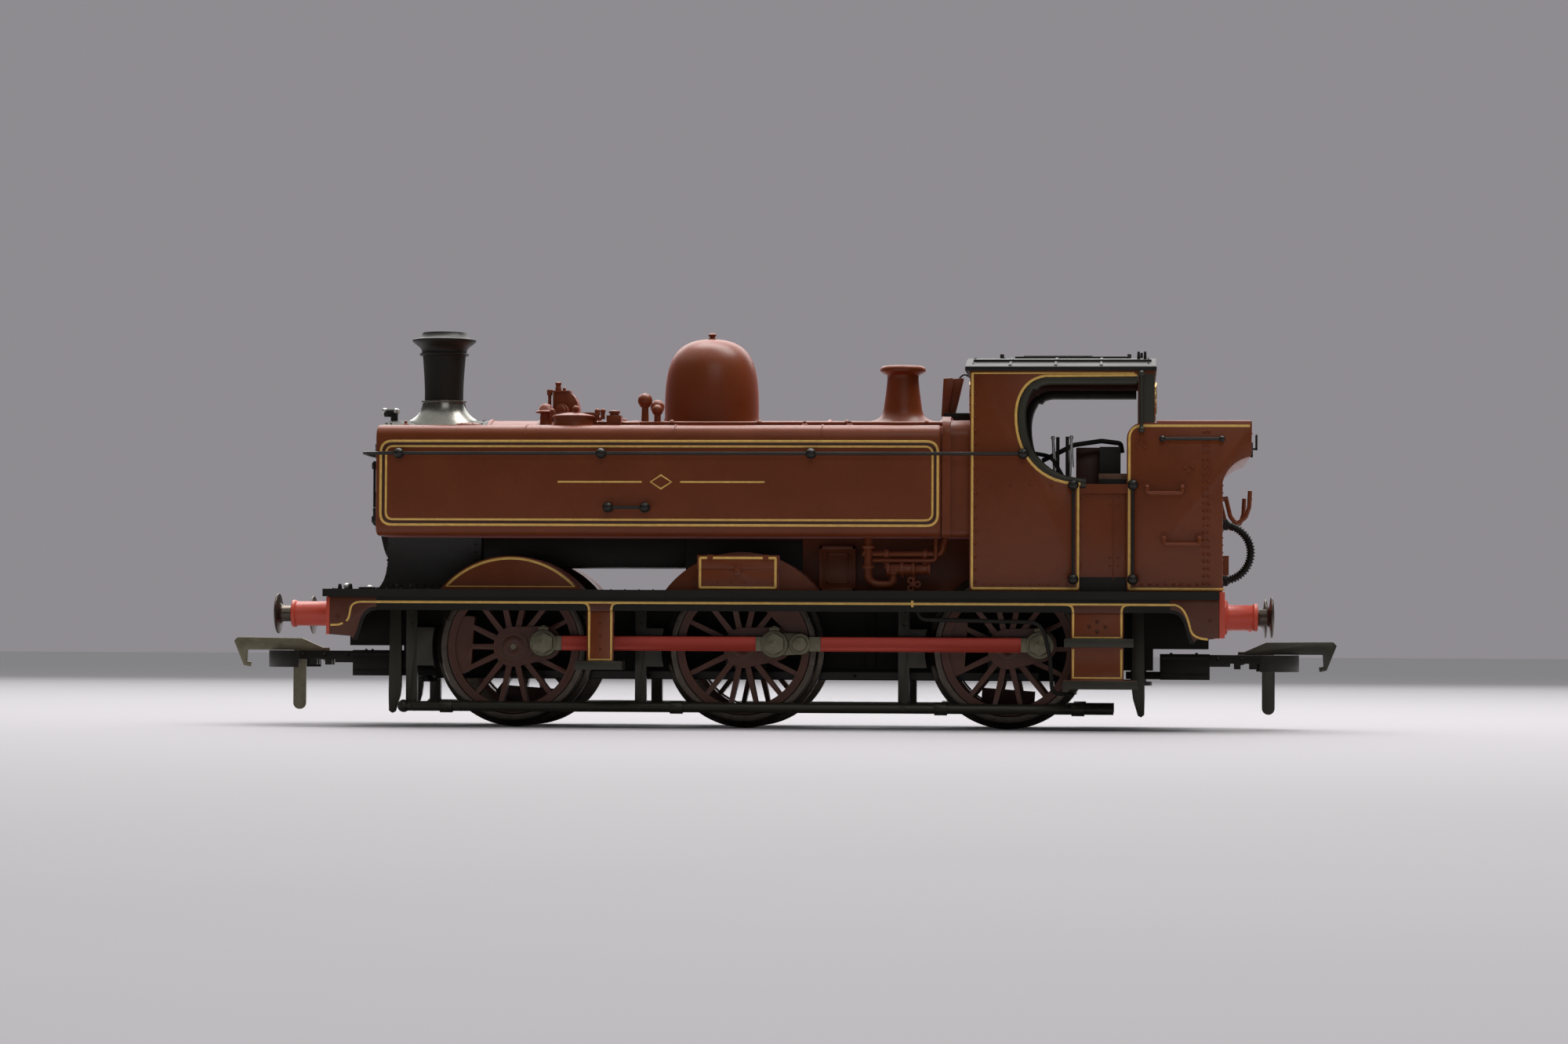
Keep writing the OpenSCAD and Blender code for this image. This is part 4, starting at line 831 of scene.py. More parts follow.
def build_mountings():
    """Makes the chimney, dome, safety valve, top feed, fillers and vents."""
    bm = bmesh.new()
    at = (-43.38, 0, 0)
    foot = [(0, 37.9), (4.55, 37.9), (4.5, 38.7)] + bezier(
        [(4.42, 38.95), (3.4, 39.5), (2.85, 40.2), (2.72, 41.15)], 10)
    verts = lathe(bm, foot + [(2.86, 41.2), (2.88, 41.3), (2.86, 41.4), (2.6, 41.46), (0, 41.46)],
                  at, "z", 56)
    saddle(bm, verts, 38.9, 40.8)
    piece(bm, "chimney_base", finish("gunmetal"), "root")
    bm = bmesh.new()
    body = bezier([(2.48, 41.4), (2.42, 43.0), (2.58, 45.2), (2.75, 47.2)], 8)
    lip = [(3.08, 47.25), (3.15, 47.4), (3.08, 47.56), (2.86, 47.62)] + bezier(
        [(2.86, 47.7), (2.9, 48.4), (3.7, 48.6), (4.02, 49.02)], 8) + [
        (4.07, 49.12), (4.07, 49.26), (3.95, 49.34), (3.3, 49.5)] + bezier(
        [(3.2, 49.58), (2.95, 49.8), (2.85, 50.0), (2.78, 50.2)], 4)
    lathe(bm, body + lip + [(2.5, 50.2), (2.2, 49.6), (2.1, 42.0), (0, 42.0)], at, "z", 56)
    piece(bm, "chimney_body", finish("black"), "root", ("chimney",))

    bm = bmesh.new()
    at = (-8.83, 0, 0)
    crown = bezier([(6.0, 39.4), (6.08, 45.2), (5.4, 47.7), (3.0, 48.8)], 16) + bezier(
        [(3.0, 48.8), (2.2, 49.17), (1.2, 49.3), (0.5, 49.32)], 6)[1:]
    skirt = [(0, 37.9), (6.5, 37.9), (6.42, 38.45), (6.15, 38.75)]
    verts = lathe(bm, skirt + crown + [(0, 49.32)], at, "z", 64)
    saddle(bm, verts, 38.9, 40.4)
    lathe(bm, [(0, 49.2), (0.62, 49.2), (0.6, 49.42), (0.34, 49.5), (0.32, 49.62), (0.5, 49.75),
               (0.5, 49.95), (0.3, 50.12), (0, 50.15)], at, "z", 20)
    piece(bm, "dome_cover", finish("maroon"), "root", ("dome",))

    bm = bmesh.new()
    at = (15.57, 0, 0)
    bell = bezier([(4.35, 38.85), (3.1, 39.05), (2.65, 39.4), (2.45, 40.4)], 10) + bezier(
        [(2.45, 40.4), (2.3, 41.6), (2.05, 43.0), (1.98, 44.5)], 8)[1:]
    profile = [(0, 37.9), (4.5, 37.9), (4.5, 38.6)] + bell + [
        (2.05, 44.7), (2.55, 44.95), (2.85, 45.15), (2.92, 45.4), (2.85, 45.65), (2.6, 45.85),
        (2.3, 45.9), (2.1, 45.7), (1.9, 45.1), (1.5, 44.9), (0, 44.9)]
    verts = lathe(bm, profile, at, "z", 56)
    saddle(bm, verts, 38.9, 40.6)
    piece(bm, "valve_bonnet", finish("maroon"), "root", ("safety_valve",))
    bm = bmesh.new()
    for y in (-0.75, 0.75):
        rod(bm, (15.57, y, 44.8), (15.57, y, 45.7), 0.42)
    piece(bm, "valve_columns", finish("brass"), "root")

    bm = bmesh.new()
    lathe(bm, [(0, 38.3), (2.2, 38.3), (2.2, 39.1), (1.9, 39.3), (1.85, 39.7), (1.5, 39.95),
               (1.2, 40.1), (0, 40.1)], (FEED_X, 0, 0), "z", 32)
    for turn in range(0, 360, 45):
        t = math.radians(turn)
        rivets(bm, [(FEED_X + 2.05 * math.cos(t), 2.05 * math.sin(t), 39.1)], "z", 0.16)
    # The valve chest with its cover plate, spindle and side screws
    chest = [(-29.05, 39.9), (-29.05, 42.6), (-27.1, 42.6)] + bezier(
        [(-27.1, 42.5), (-26.4, 42.3), (-25.85, 41.4), (-25.8, 39.9)], 8)
    prism(bm, chest, -1.2, 1.2)
    for x in (-29.0, -27.2):
        block(bm, (x - 0.12, x + 0.12), (-1.34, 1.34), (39.95, 42.72))
    block(bm, (-29.2, -26.95), (-1.36, 1.36), (42.5, 42.74))
    lathe(bm, [(0, 42.6), (0.42, 42.6), (0.38, 43.2), (0.3, 43.4), (0.42, 43.6), (0.4, 43.8),
               (0, 43.95)], (-28.6, 0, 0), "z", 14)
    lathe(bm, [(0, 42.6), (0.2, 42.6), (0.2, 43.1), (0, 43.15)], (-27.75, -0.6, 0), "z", 10)
    rivets(bm, [(-28.1, -1.2, 41.4), (-28.1, -1.2, 40.4)], "-y", 0.12)
    for z, r in ((40.4, 0.34), (41.2, 0.22), (42.0, 0.22), (42.5, 0.36)):
        rod(bm, (-29.6, -0.8, z - 0.35), (-29.6, -0.8, z + 0.35), r, None, 12)
    rod(bm, (-29.6, -0.8, 39.0), (-29.6, -0.8, 42.7), 0.2, None, 10)
    for side in (-1, 1):
        rod(bm, (FEED_X, 0, 40.1), (FEED_X, side * 4.2, 40.1), 0.5)
        for y in (-1.9, -3.1):
            rod(bm, (FEED_X, side * -y, 40.1), (FEED_X, side * (-y + 0.35), 40.1), 0.78)
        lathe(bm, [(0, TANK_ROOF), (1.15, TANK_ROOF), (1.15, 37.95), (0.8, 38.1), (0.72, 39.6),
                   (1.3, 39.7), (1.3, 39.85), (1.0, 40.0), (0.8, 40.5), (0.5, 40.8), (0, 40.9)],
              (-29.6, side * 4.2, 0), "z", 24)
    # Water pipe along the tank top, down to the cab, with its clips
    path = rounded([(FEED_X, -4.4, 38.9), (-26.4, -8.6, 38.1), (23.0, -8.6, 38.1), (24.9, -8.6, 38.1)],
                   (0, 1.2, 1.0, 0), 6, False)
    tube(bm, path, 0.3, False, 3)
    for x in (-24, -13, -2, 9, 19):
        block(bm, (x - 0.35, x + 0.35), (-9.15, -8.05), (TANK_ROOF, 37.86))
        verts = tube(bm, [(x, -8.6 + 0.42 * math.cos(t), 38.05 + 0.42 * math.sin(t))
                          for t in (math.radians(18 * k) for k in range(11))], 0.14)
        squeeze(bm, verts, 0, x, 1.8)
    piece(bm, "top_feed_fittings", finish("maroon"), "root", ("top_feed",), 0.03)

    bm = bmesh.new()
    y = -11.4
    lid = [(0, TANK_ROOF), (2.62, TANK_ROOF), (2.55, 37.8), (2.5, 38.6), (2.72, 38.66), (2.75, 38.86),
           (2.6, 38.95), (1.2, 39.25), (0, 39.3)]
    lathe(bm, lid, (-25.05, y, 0), "z", 40)
    strap = rounded([(-27.9, 38.9), (-26.8, 39.3), (-23.0, 39.35), (-21.7, 39.3),
                     (-21.7, 39.0), (-27.9, 38.7)], 0.15, 3)
    prism(bm, strap, y - 0.3, y + 0.3)
    for x in (-27.8, -22.1, -21.4):
        rod(bm, (x, y, 38.5), (x, y, 39.45), 0.26)
        ball(bm, (x, y, 39.5), 0.36, 10)
    rod(bm, (-24.8, y, 39.1), (-24.8, y, 39.75), 0.34)
    ball(bm, (-24.8, y, 39.8), 0.42, 12)
    rod(bm, (-22.4, y, TANK_ROOF), (-22.4, y, 39.1), 0.24)
    # Box with a cap behind the filler
    block(bm, (-20.85, -19.05), (y - 0.9, y + 0.9), (TANK_ROOF, 38.95))
    lathe(bm, [(0, 38.9), (0.6, 38.9), (0.55, 39.2), (0.72, 39.25), (0.72, 39.5), (0, 39.62)],
          (-19.95, y, 0), "z", 16)
    rod(bm, (-22.0, y, 38.0), (-20.8, y, 38.0), 0.25)
    rod(bm, (-19.1, y, 37.95), (-16.8, y, 37.95), 0.22)
    lathe(bm, [(0, TANK_ROOF), (1.6, TANK_ROOF), (1.6, 37.85), (1.3, 38.0), (0.6, 38.1), (0, 38.1)],
          (-38.5, -10.5, 0), "z", 24)
    rivets(bm, [(-38.5 + 1.35 * math.cos(t), -10.5 + 1.35 * math.sin(t), 37.92)
                for t in (math.radians(60 * k) for k in range(6))], "z", 0.15)
    lathe(bm, [(0, TANK_ROOF), (0.85, TANK_ROOF), (0.8, 37.85), (0.5, 38.0), (0.42, 40.2), (0.62, 40.3),
               (0.62, 40.45)] + arc(0, 41.1, 0.93, -50, 90, 10)[:-1] + [(0, 42.03)],
          (-16.6, -7.0, 0), "z", 24)
    lathe(bm, [(0, TANK_ROOF), (0.7, TANK_ROOF), (0.42, 37.9), (0.38, 39.2)]
          + arc(0, 39.8, 0.72, -50, 90, 8)[:-1] + [(0, 40.52)], (-14.9, -8.2, 0), "z", 20)
    # Lifting rings at the ends of the tank
    for x in (-46.2, 4.0, 9.6):
        lathe(bm, [(0, TANK_ROOF), (0.45, TANK_ROOF), (0.4, 37.8), (0.2, 37.9), (0.2, 38.2), (0, 38.25)],
              (x, -12.2, 0), "z", 12)
    mirrored(bm)
    piece(bm, "tank_top_fittings", finish("maroon"), "root", ("tank_fillers",), 0.03)


# ---- cab, bunker and footplate ----

OPENING = (bezier([(38.4, 30.34), (33.2, 30.34), (30.45, 34.0), (30.45, 38.74)], 14)
           + bezier([(30.45, 38.74), (30.45, 41.2), (31.6, 43.4), (34.1, 43.67)], 10)[1:]
           + [(45.0, 43.67)])


def build_cab():
    """Makes the cab, its roof, windows, lining and rivets."""
    eased_copy("cab_body", finish("maroon"))
    eased_copy("cab_roof", finish("black"), 0.1)
    eased_copy("firebox", finish("maroon"), 0.3, 3)
    paint_node("glazing", glass_finish())

    bm = bmesh.new()
    face = -SIDE_Y - PRINT_LIFT
    edge = [(38.0, 30.1), (38.0, 17.45), (24.98, 17.45), (24.98, 44.0)]
    side_line(bm, rounded(edge, (0, 0.25, 0.25, 0), 4, False), face)
    side_line(bm, [(24.98, 44.0), (44.9, 44.0)], face, False, 0.2)
    beading = [(x - 0.12, face, z) for x, z in OPENING[:-1]]
    verts = tube(bm, beading + [(45.2, face, 43.75)], 0.17)
    squeeze(bm, verts, 1, face, 0.7)
    mirrored(bm)
    piece(bm, "cab_lining", finish("gold"), "root")

    bm = bmesh.new()
    lip = [(x + (0.55 if i < 22 else 0.2), z + (0.1 if i < 8 else -0.5 if i > 20 else 0.0))
           for i, (x, z) in enumerate(OPENING)]
    verts = tube(bm, [(x, -15.0, z) for x, z in lip], 0.62)
    squeeze(bm, verts, 1, -15.0, 0.6)
    # Rear pillar facing and its upright rail
    block(bm, (45.45, 47.35), (-15.47, -15.2), (37.95, 43.9))
    rod(bm, (45.75, -15.9, 37.0), (45.75, -15.9, 43.9), 0.22, None, 12)
    ball(bm, (45.75, -15.9, 43.9), 0.42)
    ball(bm, (45.75, -15.9, 37.0), 0.42)
    mirrored(bm)
    piece(bm, "cab_opening_lip", finish("olive_black"), "root")

    bm = bmesh.new()
    rivets(bm, row((25.33, -SIDE_Y, 18.3), (25.33, -SIDE_Y, 43.1), 17))
    rivets(bm, row((27.15, -SIDE_Y, 30.2), (34.75, -SIDE_Y, 30.2), 4))
    rivets(bm, row((37.45, -SIDE_Y, 18.3), (37.45, -SIDE_Y, 29.6), 11), "-y", 0.12)
    rivets(bm, row((26.5, -SIDE_Y, 18.0), (36.6, -SIDE_Y, 18.0), 10), "-y", 0.12)
    rivets(bm, row((24.66, -14.6, 39.0), (24.66, -14.6, 43.6), 5), "-x", 0.14)
    rivets(bm, row((24.66, -13.4, 44.3), (24.66, -2.0, 45.6), 10), "-x", 0.14)
    rivets(bm, row((47.39, -14.2, 38.6), (47.39, -14.2, 43.4), 5), "x", 0.14)
    # Hinges and rivets of the half doors
    for z in (20.2, 24.6, 29.2):
        rod(bm, (38.25, -14.85, z - 0.5), (38.25, -14.85, z + 0.5), 0.22)
    for x in (41.9, 42.9):
        for z in (20.3, 21.3, 27.8, 28.8):
            rivets(bm, [(x, -14.75, z)], "-y", 0.16)
    block(bm, (38.0, 44.1), (-15.0, -14.7), (29.2, 30.35))
    block(bm, (42.3, 42.42), (-14.86, -14.7), (18.6, 30.2))
    mirrored(bm)
    piece(bm, "cab_rivets", finish("maroon"), "root")

    bm = bmesh.new()
    for x, r in ((24.5, 1.9), (47.55, 1.7)):
        for y in (-8.6, 8.6):
            way = "-x" if x < 30 else "x"
            lathe(bm, [(r - 0.12, -0.1), (r - 0.12, 0.12), (r - 0.02, 0.2), (r + 0.22, 0.2),
                       (r + 0.32, 0.1), (r + 0.32, -0.1), (r - 0.12, -0.1)],
                  (x + (0.1 if x < 30 else -0.1), y, 41.3), way, 36)
    piece(bm, "window_rims", finish("brass"), "root")

    # Slanted whistle shield and its bracket in front of the cab
    bm = bmesh.new()
    for x0, x1, x2, x3, y0, y1 in ((20.55, 21.4, 20.8, 22.0, -2.0, -1.3),
                                   (21.2, 22.1, 21.9, 23.3, -1.4, 1.6)):
        prism(bm, [(x0, 39.4), (x1, 39.4), (x3, 44.3), (x2, 44.2)], y0, y1)
    piece(bm, "whistle_shield", finish("maroon"), "root", (), 0.06)
    bm = bmesh.new()
    block(bm, (20.9, 24.7), (-3.4, 3.4), (38.6, 39.75))
    tube(bm, rounded([(22.4, -1.0, 43.9), (23.4, -1.0, 44.9), (24.3, -1.0, 44.3), (24.3, -1.0, 40.5)],
                     (0, 0.6, 0.6, 0), 5, False), 0.12)
    piece(bm, "shield_bracket", finish("black"), "root", (), 0.05)

    bm = bmesh.new()
    for x in (29.6, 35.2, 40.8):
        band = [(x, y, math.sqrt(67.5 ** 2 - y * y) + 46.7 - 67.5) for y in
                (-15.5 + 31 * k / 20 for k in range(21))]
        squeeze(bm, tube(bm, band, 0.14), 0, x, 1.6)
    rivets(bm, [(x, y, math.sqrt(67.5 ** 2 - y * y) - 20.8) for x in (25.0, 46.6)
                for y in (-14 + 2 * k for k in range(15))], "z", 0.15)
    # Sliding hatch and its runners
    block(bm, (31.0, 39.6), (-3.6, 3.6), (46.5, 46.98))
    for y in (-3.8, 3.8):
        block(bm, (29.9, 44.4), (y - 0.18, y + 0.18), (46.3, 46.85))
    for x, y in ((45.4, -9.0), (46.2, -9.0), (45.4, 9.0), (46.2, 9.0), (45.8, 0.0)):
        rod(bm, (x, y, 45.6), (x, y, 47.1 if y else 47.6), 0.22, 0.16)
    piece(bm, "roof_fittings", finish("black"), "root", (), 0.06)

    # Sills under the half doors
    bm = bmesh.new()
    block(bm, (37.6, 44.3), (-14.8, -14.4), (16.9, 18.9))
    mirrored(bm)
    piece(bm, "cab_sills", finish("black"), "root")


def build_cab_inside():
    """Makes the backhead with its pipes, gauges, levers and seats."""
    eased_copy("backhead", finish("black"), 0.25, 3)
    bm = bmesh.new()
    tube(bm, rounded([(29.3, -6.2, 32.2), (31.6, -7.6, 34.6), (34.6, -9.4, 34.0), (36.6, -10.4, 30.5),
                      (36.8, -10.6, 22.0)], (0, 2.5, 2.2, 2.0, 0), 8, False), 0.26)
    tube(bm, rounded([(29.3, 4.5, 34.6), (31.0, 5.5, 35.8), (31.6, 7.0, 33.0), (31.4, 7.6, 23.0)],
                     (0, 1.2, 1.5, 0), 8, False), 0.22)
    for y, z in ((-3.5, 34.6), (3.5, 34.6), (0.0, 35.2)):
        lathe(bm, [(0, 0), (0.98, 0), (1.0, 0.35), (0.9, 0.5), (0, 0.5)], (BACKHEAD_X, y, z), "x", 24)
    tube(bm, [(29.7, 0, 30.6), (30.2, 0, 31.0), (30.3, -2.6, 33.4)], 0.18)
    for y in (-6.4, 6.4):
        rivets(bm, row((BACKHEAD_X, y, 23.0), (BACKHEAD_X, y, 36.0), 12), "x", 0.16)
    tube(bm, rounded([(33.4, -6, 33.6), (37.4, -6, 35.6), (40.8, -6, 36.1), (43.2, -6, 35.8),
                      (43.4, -6, 34.6)], (0, 1.2, 1.2, 0.5, 0), 6, False), 0.3)
    block(bm, (40.6, 43.2), (-7.6, -4.4), (22.0, 35.3))
    piece(bm, "backhead_pipes", finish("wire"), "root")
    bm = bmesh.new()
    # The reverser box takes the darker maroon copy as painted shade inside the cab
    block(bm, (37.6, 40.8), (-3.6, 0.4), (22.0, 35.4))
    piece(bm, "reverser_box", finish("maroon_painted_shade"), "root", (), 0.15)
    bm = bmesh.new()
    for y, z in ((-3.5, 34.6), (3.5, 34.6), (0.0, 35.2)):
        lathe(bm, [(0.78, 0.48), (0.98, 0.48), (0.98, 0.6), (0.78, 0.6), (0.78, 0.48)],
              (BACKHEAD_X, y, z), "x", 24)
    for y in (-1.6, 1.6):
        rod(bm, (29.6, y, 28.6), (29.6, y, 32.0), 0.2)
        for z in (28.6, 32.0):
            lathe(bm, [(0, 0), (0.36, 0), (0.36, 0.7), (0, 0.7)], (29.1, y, z), "x", 14)
    lathe(bm, [(0, 0), (1.7, 0), (1.7, 0.25), (1.5, 0.4), (0, 0.55)], (BACKHEAD_X, 0, 26.0), "x", 32)
    piece(bm, "backhead_brass", finish("brass"), "root")
    bm = bmesh.new()
    for x, y, lean in ((35.4, -9.5, -0.6), (36.6, -10.7, 0.5)):
        rod(bm, (x, y, 21.8), (x + lean, y, 36.2), 0.2, 0.16)
        ball(bm, (x + lean, y, 36.3), 0.26)
        rod(bm, (x + lean * 0.8 + 0.35, y, 32.6), (x + lean + 0.1, y, 35.6), 0.1)
    piece(bm, "cab_levers", finish("steel"), "root")
    bm = bmesh.new()
    block(bm, (31.8, 37.5), (8.6, 13.6), (27.5, 28.2))
    block(bm, (40.5, 45.5), (-13.6, -9.0), (31.0, 31.7))
    for x in (26.2 + 1.9 * k for k in range(11)):
        block(bm, (x, x + 1.75), (-13.9, 13.9), (21.82, 22.0))
    piece(bm, "cab_woodwork", finish("wood"), "root", (), 0.05)


def build_bunker():
    """Makes the bunker with its lining, rivets, steps, hooks and coal."""
    eased_copy("bunker", finish("maroon"))
    bm = bmesh.new()
    face = -SIDE_Y - PRINT_LIFT
    path = rounded([(55.9, 17.45), (44.28, 17.45), (44.28, 37.5), (59.0, 37.5)],
                   (0, 0.2, 1.6, 0), 7, False)
    side_line(bm, path, face)
    mirrored(bm)
    piece(bm, "bunker_lining", finish("gold"), "root")

    bm = bmesh.new()
    for x in (53.42, 54.0):
        rivets(bm, row((x, -SIDE_Y, 18.2), (x, -SIDE_Y, 36.8), 22), "-y", 0.24)
    rivets(bm, row((44.9, -SIDE_Y, 18.05), (52.6, -SIDE_Y, 18.05), 9), "-y", 0.22)
    rivets(bm, [(x, -SIDE_Y, z) for x in (45.3, 46.2) for z in (34.8, 35.6, 36.4)])
    rivets(bm, [(51.1, -SIDE_Y, 32.3), (52.0, -SIDE_Y, 32.3), (51.55, -SIDE_Y, 31.8)])
    for y in (-14.6, -7.3, 0.0):
        rivets(bm, row((55.7, y, 18.3), (55.7, y, 30.2), 14), "x", 0.15)
    rivets(bm, row((59.24, -14.6, 36.6), (59.24, 0, 36.6), 14), "x", 0.15)
    # Capping round the top edge
    for path in ([(47.6, -15.1, 37.9), (59.1, -15.1, 37.9)], [(59.0, -15.1, 37.9), (59.0, 0, 37.9)]):
        tube(bm, path, 0.28)
    # Steps and handholds on the side
    for x, z in ((46.45, 29.2), (48.55, 22.9)):
        tube(bm, rounded([(x, -15.3, z + 0.9), (x, -16.3, z + 0.8), (x, -16.3, z), (x + 4.3, -16.3, z),
                          (x + 4.3, -16.3, z + 0.8), (x + 4.3, -15.3, z + 0.9)],
                         (0, 0.3, 0.4, 0.4, 0.3, 0), 4, False), 0.26, False, 2)
        for end in (x, x + 4.3):
            block(bm, (end - 0.4, end + 0.4), (-15.65, -15.3), (z + 0.35, z + 1.35))
    # Hooks for fire irons behind
    hook = [(56.1, 28.9), (56.7, 26.4), (57.5, 25.5), (58.6, 26.4), (59.0, 27.6), (59.1, 29.6)]
    tube(bm, rounded([(x, -12.8, z) for x, z in hook], (0, 1.0, 1.0, 1.0, 0.6, 0), 6, False), 0.28,
         False, 3)
    tube(bm, [(59.0, -12.8, 28.0), (59.2, -12.8, 28.7)], 0.2)
    rod(bm, (55.5, -12.8, 28.6), (56.4, -12.8, 28.6), 0.3)
    block(bm, (55.5, 56.5), (-13.6, -12.0), (19.2, 21.6))
    mirrored(bm)
    piece(bm, "bunker_rivets", finish("maroon"), "root")

    bm = bmesh.new()
    grid = bmesh.ops.create_grid(bm, x_segments=34, y_segments=92, size=0.5)["verts"]
    bmesh.ops.scale(bm, vec=(10.0, 29.2, 1), verts=grid)
    bmesh.ops.translate(bm, vec=(53.2, 0, 36.9), verts=grid)
    edge = bmesh.ops.extrude_face_region(bm, geom=bm.faces[:])["geom"]
    lifted = [item for item in edge if isinstance(item, bmesh.types.BMVert)]
    bmesh.ops.translate(bm, vec=(0, 0, 0.3), verts=lifted)
    bmesh.ops.translate(bm, vec=(0, 0, -2.6), verts=grid)
    random.seed(7)
    lumps = [(random.uniform(48.6, 57.8), random.uniform(-14.2, 14.2), random.uniform(0.55, 1.15))
             for _ in range(230)]
    for vert in lifted:
        top = 0.0
        for x, y, r in lumps:
            gap = (vert.co.x - x) ** 2 + (vert.co.y - y) ** 2
            if gap < r * r:
                top = max(top, math.sqrt(r * r - gap) * 0.95)
        heap = 0.9 * (1 - ((vert.co.x - 53.2) / 6.0) ** 2) * (1 - (vert.co.y / 16.5) ** 2)
        vert.co.z += top + heap - 1.1 + random.uniform(-0.06, 0.06)
    piece(bm, "coal_heap", finish("coal"), "root", ("coal",), sharp=24.0)


def build_footplate():
    """Makes the footplate, valances, beams, splashers, boxes and steps."""
    eased_copy("footplate", finish("black"))
    eased_copy("splashers", finish("maroon"), 0.08)
    eased_copy("toolboxes", finish("maroon"), 0.1)
    eased_copy("footsteps", finish("maroon"), 0.08)
    eased_copy("buffer_beams", finish("red"), 0.05)

    bm = bmesh.new()
    face = -16.405
    front = bezier([(-52.75, 13.1), (-51.9, 13.9), (-52.9, 15.45), (-50.9, 15.5)], 10)
    rear = bezier([(53.9, 11.3), (52.3, 11.4), (52.0, 11.9), (51.8, 12.4)], 5) + bezier(
        [(51.8, 12.4), (51.5, 13.6), (51.2, 15.2), (49.9, 15.5)], 8)[1:]
    side_line(bm, front + rear[::-1], face)
    side_line(bm, [(-54.75, 12.6), (-53.7, 12.65), (-53.2, 12.85)], face)
    side_line(bm, [(17.7, 15.1), (17.7, 15.9)], face)
    splash = arc(-32.73, AXLE_Z, 11.02, 137.0, 43.0, 30)
    side_line(bm, splash, -13.01, True)
    box_line = [(-8.65, 17.42), (0.72, 17.42), (0.72, 21.1), (-8.65, 21.1)]
    side_line(bm, rounded(box_line, 0.1, 2), -15.57, True)
    # Lines round the step plates, flared where they meet the valance
    for x, way in ((-22.35, -1), (-19.6, 1), (37.45, -1), (43.35, 1)):
        side_line(bm, bezier([(x, 14.5), (x, 15.2), (x + way * 0.2, 15.5), (x + way, 15.5)], 6), face)
    for x0, x1, low, high in ((-22.35, -19.6, 8.45, 14.5), (37.45, 43.35, 11.45, 14.5),
                              (37.45, 43.35, 6.5, 10.05)):
        side_line(bm, [(x0, high), (x0, low), (x1, low), (x1, high)], STEP_Y)
    mirrored(bm)
    piece(bm, "footplate_lining", finish("gold"), "root")

    # Brown facing of the end plates and the valance, in the darker maroon copy that paints in the shade
    # below the footplate edge
    bm = bmesh.new()
    inset = bezier([(-51.9, 10.95), (-50.9, 12.6), (-51.3, 14.9), (-49.0, 14.9)], 8)
    plate = [(-54.85, 16.1), (-54.85, 11.45), (-52.3, 11.3)] + inset + [(-49.0, 16.1)]
    prism(bm, plate, VALANCE_Y - 0.22, VALANCE_Y)
    inset = bezier([(52.2, 10.95), (51.2, 12.6), (51.6, 14.9), (49.3, 14.9)], 8)
    plate = [(55.25, 16.1), (55.25, 11.45), (52.6, 11.3)] + inset + [(49.3, 16.1)]
    prism(bm, plate, VALANCE_Y - 0.22, VALANCE_Y)
    rivets(bm, [(-21.0, -16.15, z) for z in (9.8, 11.4, 13.0)], "-y", 0.16)
    rivets(bm, [(40.4, -16.15, z) for z in (12.2, 13.4)] + [(39.4, -16.15, 12.8), (41.4, -16.15, 12.8)])
    rivets(bm, [(-53.9, -16.42, 13.6), (54.2, -16.42, 13.6)])
    block(bm, (-22.5, -19.45), (VALANCE_Y - 0.22, VALANCE_Y), (14.45, 15.5))
    block(bm, (37.3, 43.5), (VALANCE_Y - 0.22, VALANCE_Y), (14.45, 15.5))
    mirrored(bm)
    piece(bm, "valance_facing", finish("maroon_painted_shade"), "root", (), 0.02)

    # Treads with their ribs
    bm = bmesh.new()
    for x0, x1, z in ((-24.0, -18.2, 7.3), (36.4, 44.8, 10.35), (36.2, 45.3, 5.2)):
        block(bm, (x0 - 0.05, x1 + 0.05), (-17.0, -13.65), (z - 0.1, z + 0.95))
        for k in range(int((x1 - x0) / 0.7)):
            block(bm, (x0 + 0.35 + k * 0.7, x0 + 0.55 + k * 0.7), (-16.8, -14.0), (z + 0.9, z + 1.02))
    mirrored(bm)
    piece(bm, "step_treads", finish("olive_black"), "root", (), 0.04)

    # Small fittings on the deck at the front
    bm = bmesh.new()
    for x, y in ((-54.2, -13.2), (-52.6, -14.6), (-46.6, -15.2), (-44.9, -15.2)):
        rod(bm, (x, y, 17.0), (x, y, 17.75), 0.3, 0.2, 10)
    for x in (-54.6, 54.4):
        rivets(bm, row((x, -15.6, 17.1), (x, 0, 17.1), 12), "z", 0.17)
    rivets(bm, row((-53.0, -16.2, 17.1), (54.0, -16.2, 17.1), 62), "z", 0.13)
    mirrored(bm)
    piece(bm, "deck_details", finish("black"), "root", (), 0.04)

    # Lid hinges and hasp on the toolboxes
    bm = bmesh.new()
    for x in (-7.4, -0.5):
        block(bm, (x - 0.35, x + 0.35), (-15.72, -15.5), (20.9, 21.5))
    tube(bm, rounded([(-4.3, -15.7, 19.9), (-4.3, -15.8, 19.1), (-3.6, -15.8, 19.1),
                      (-3.6, -15.7, 19.9)], 0.2, 3, False), 0.1)
    rivets(bm, row((-8.2, -15.5, 18.1), (0.3, -15.5, 18.1), 6), "-y", 0.12)
    mirrored(bm)
    piece(bm, "toolbox_fittings", finish("maroon"), "root")

    bm = bmesh.new()
    beams = ((FRONT_BEAM_X, "-x"), (REAR_BEAM_X, "x"))
    for x, way in beams:
        rivets(bm, [(x, y, z) for y in (-14.9, -8.0, -6.0, -3.2) for z in (12.4, 15.2)], way, 0.22)
    mirrored(bm)
    for x, way in beams:
        lathe(bm, [(0.75, 0), (1.25, 0), (1.25, 0.2), (0.75, 0.2), (0.75, 0)], (x, 0, 14.2), way, 24)
    piece(bm, "beam_bolts", finish("red"), "root")


# ---- wheels, rods and drive ----

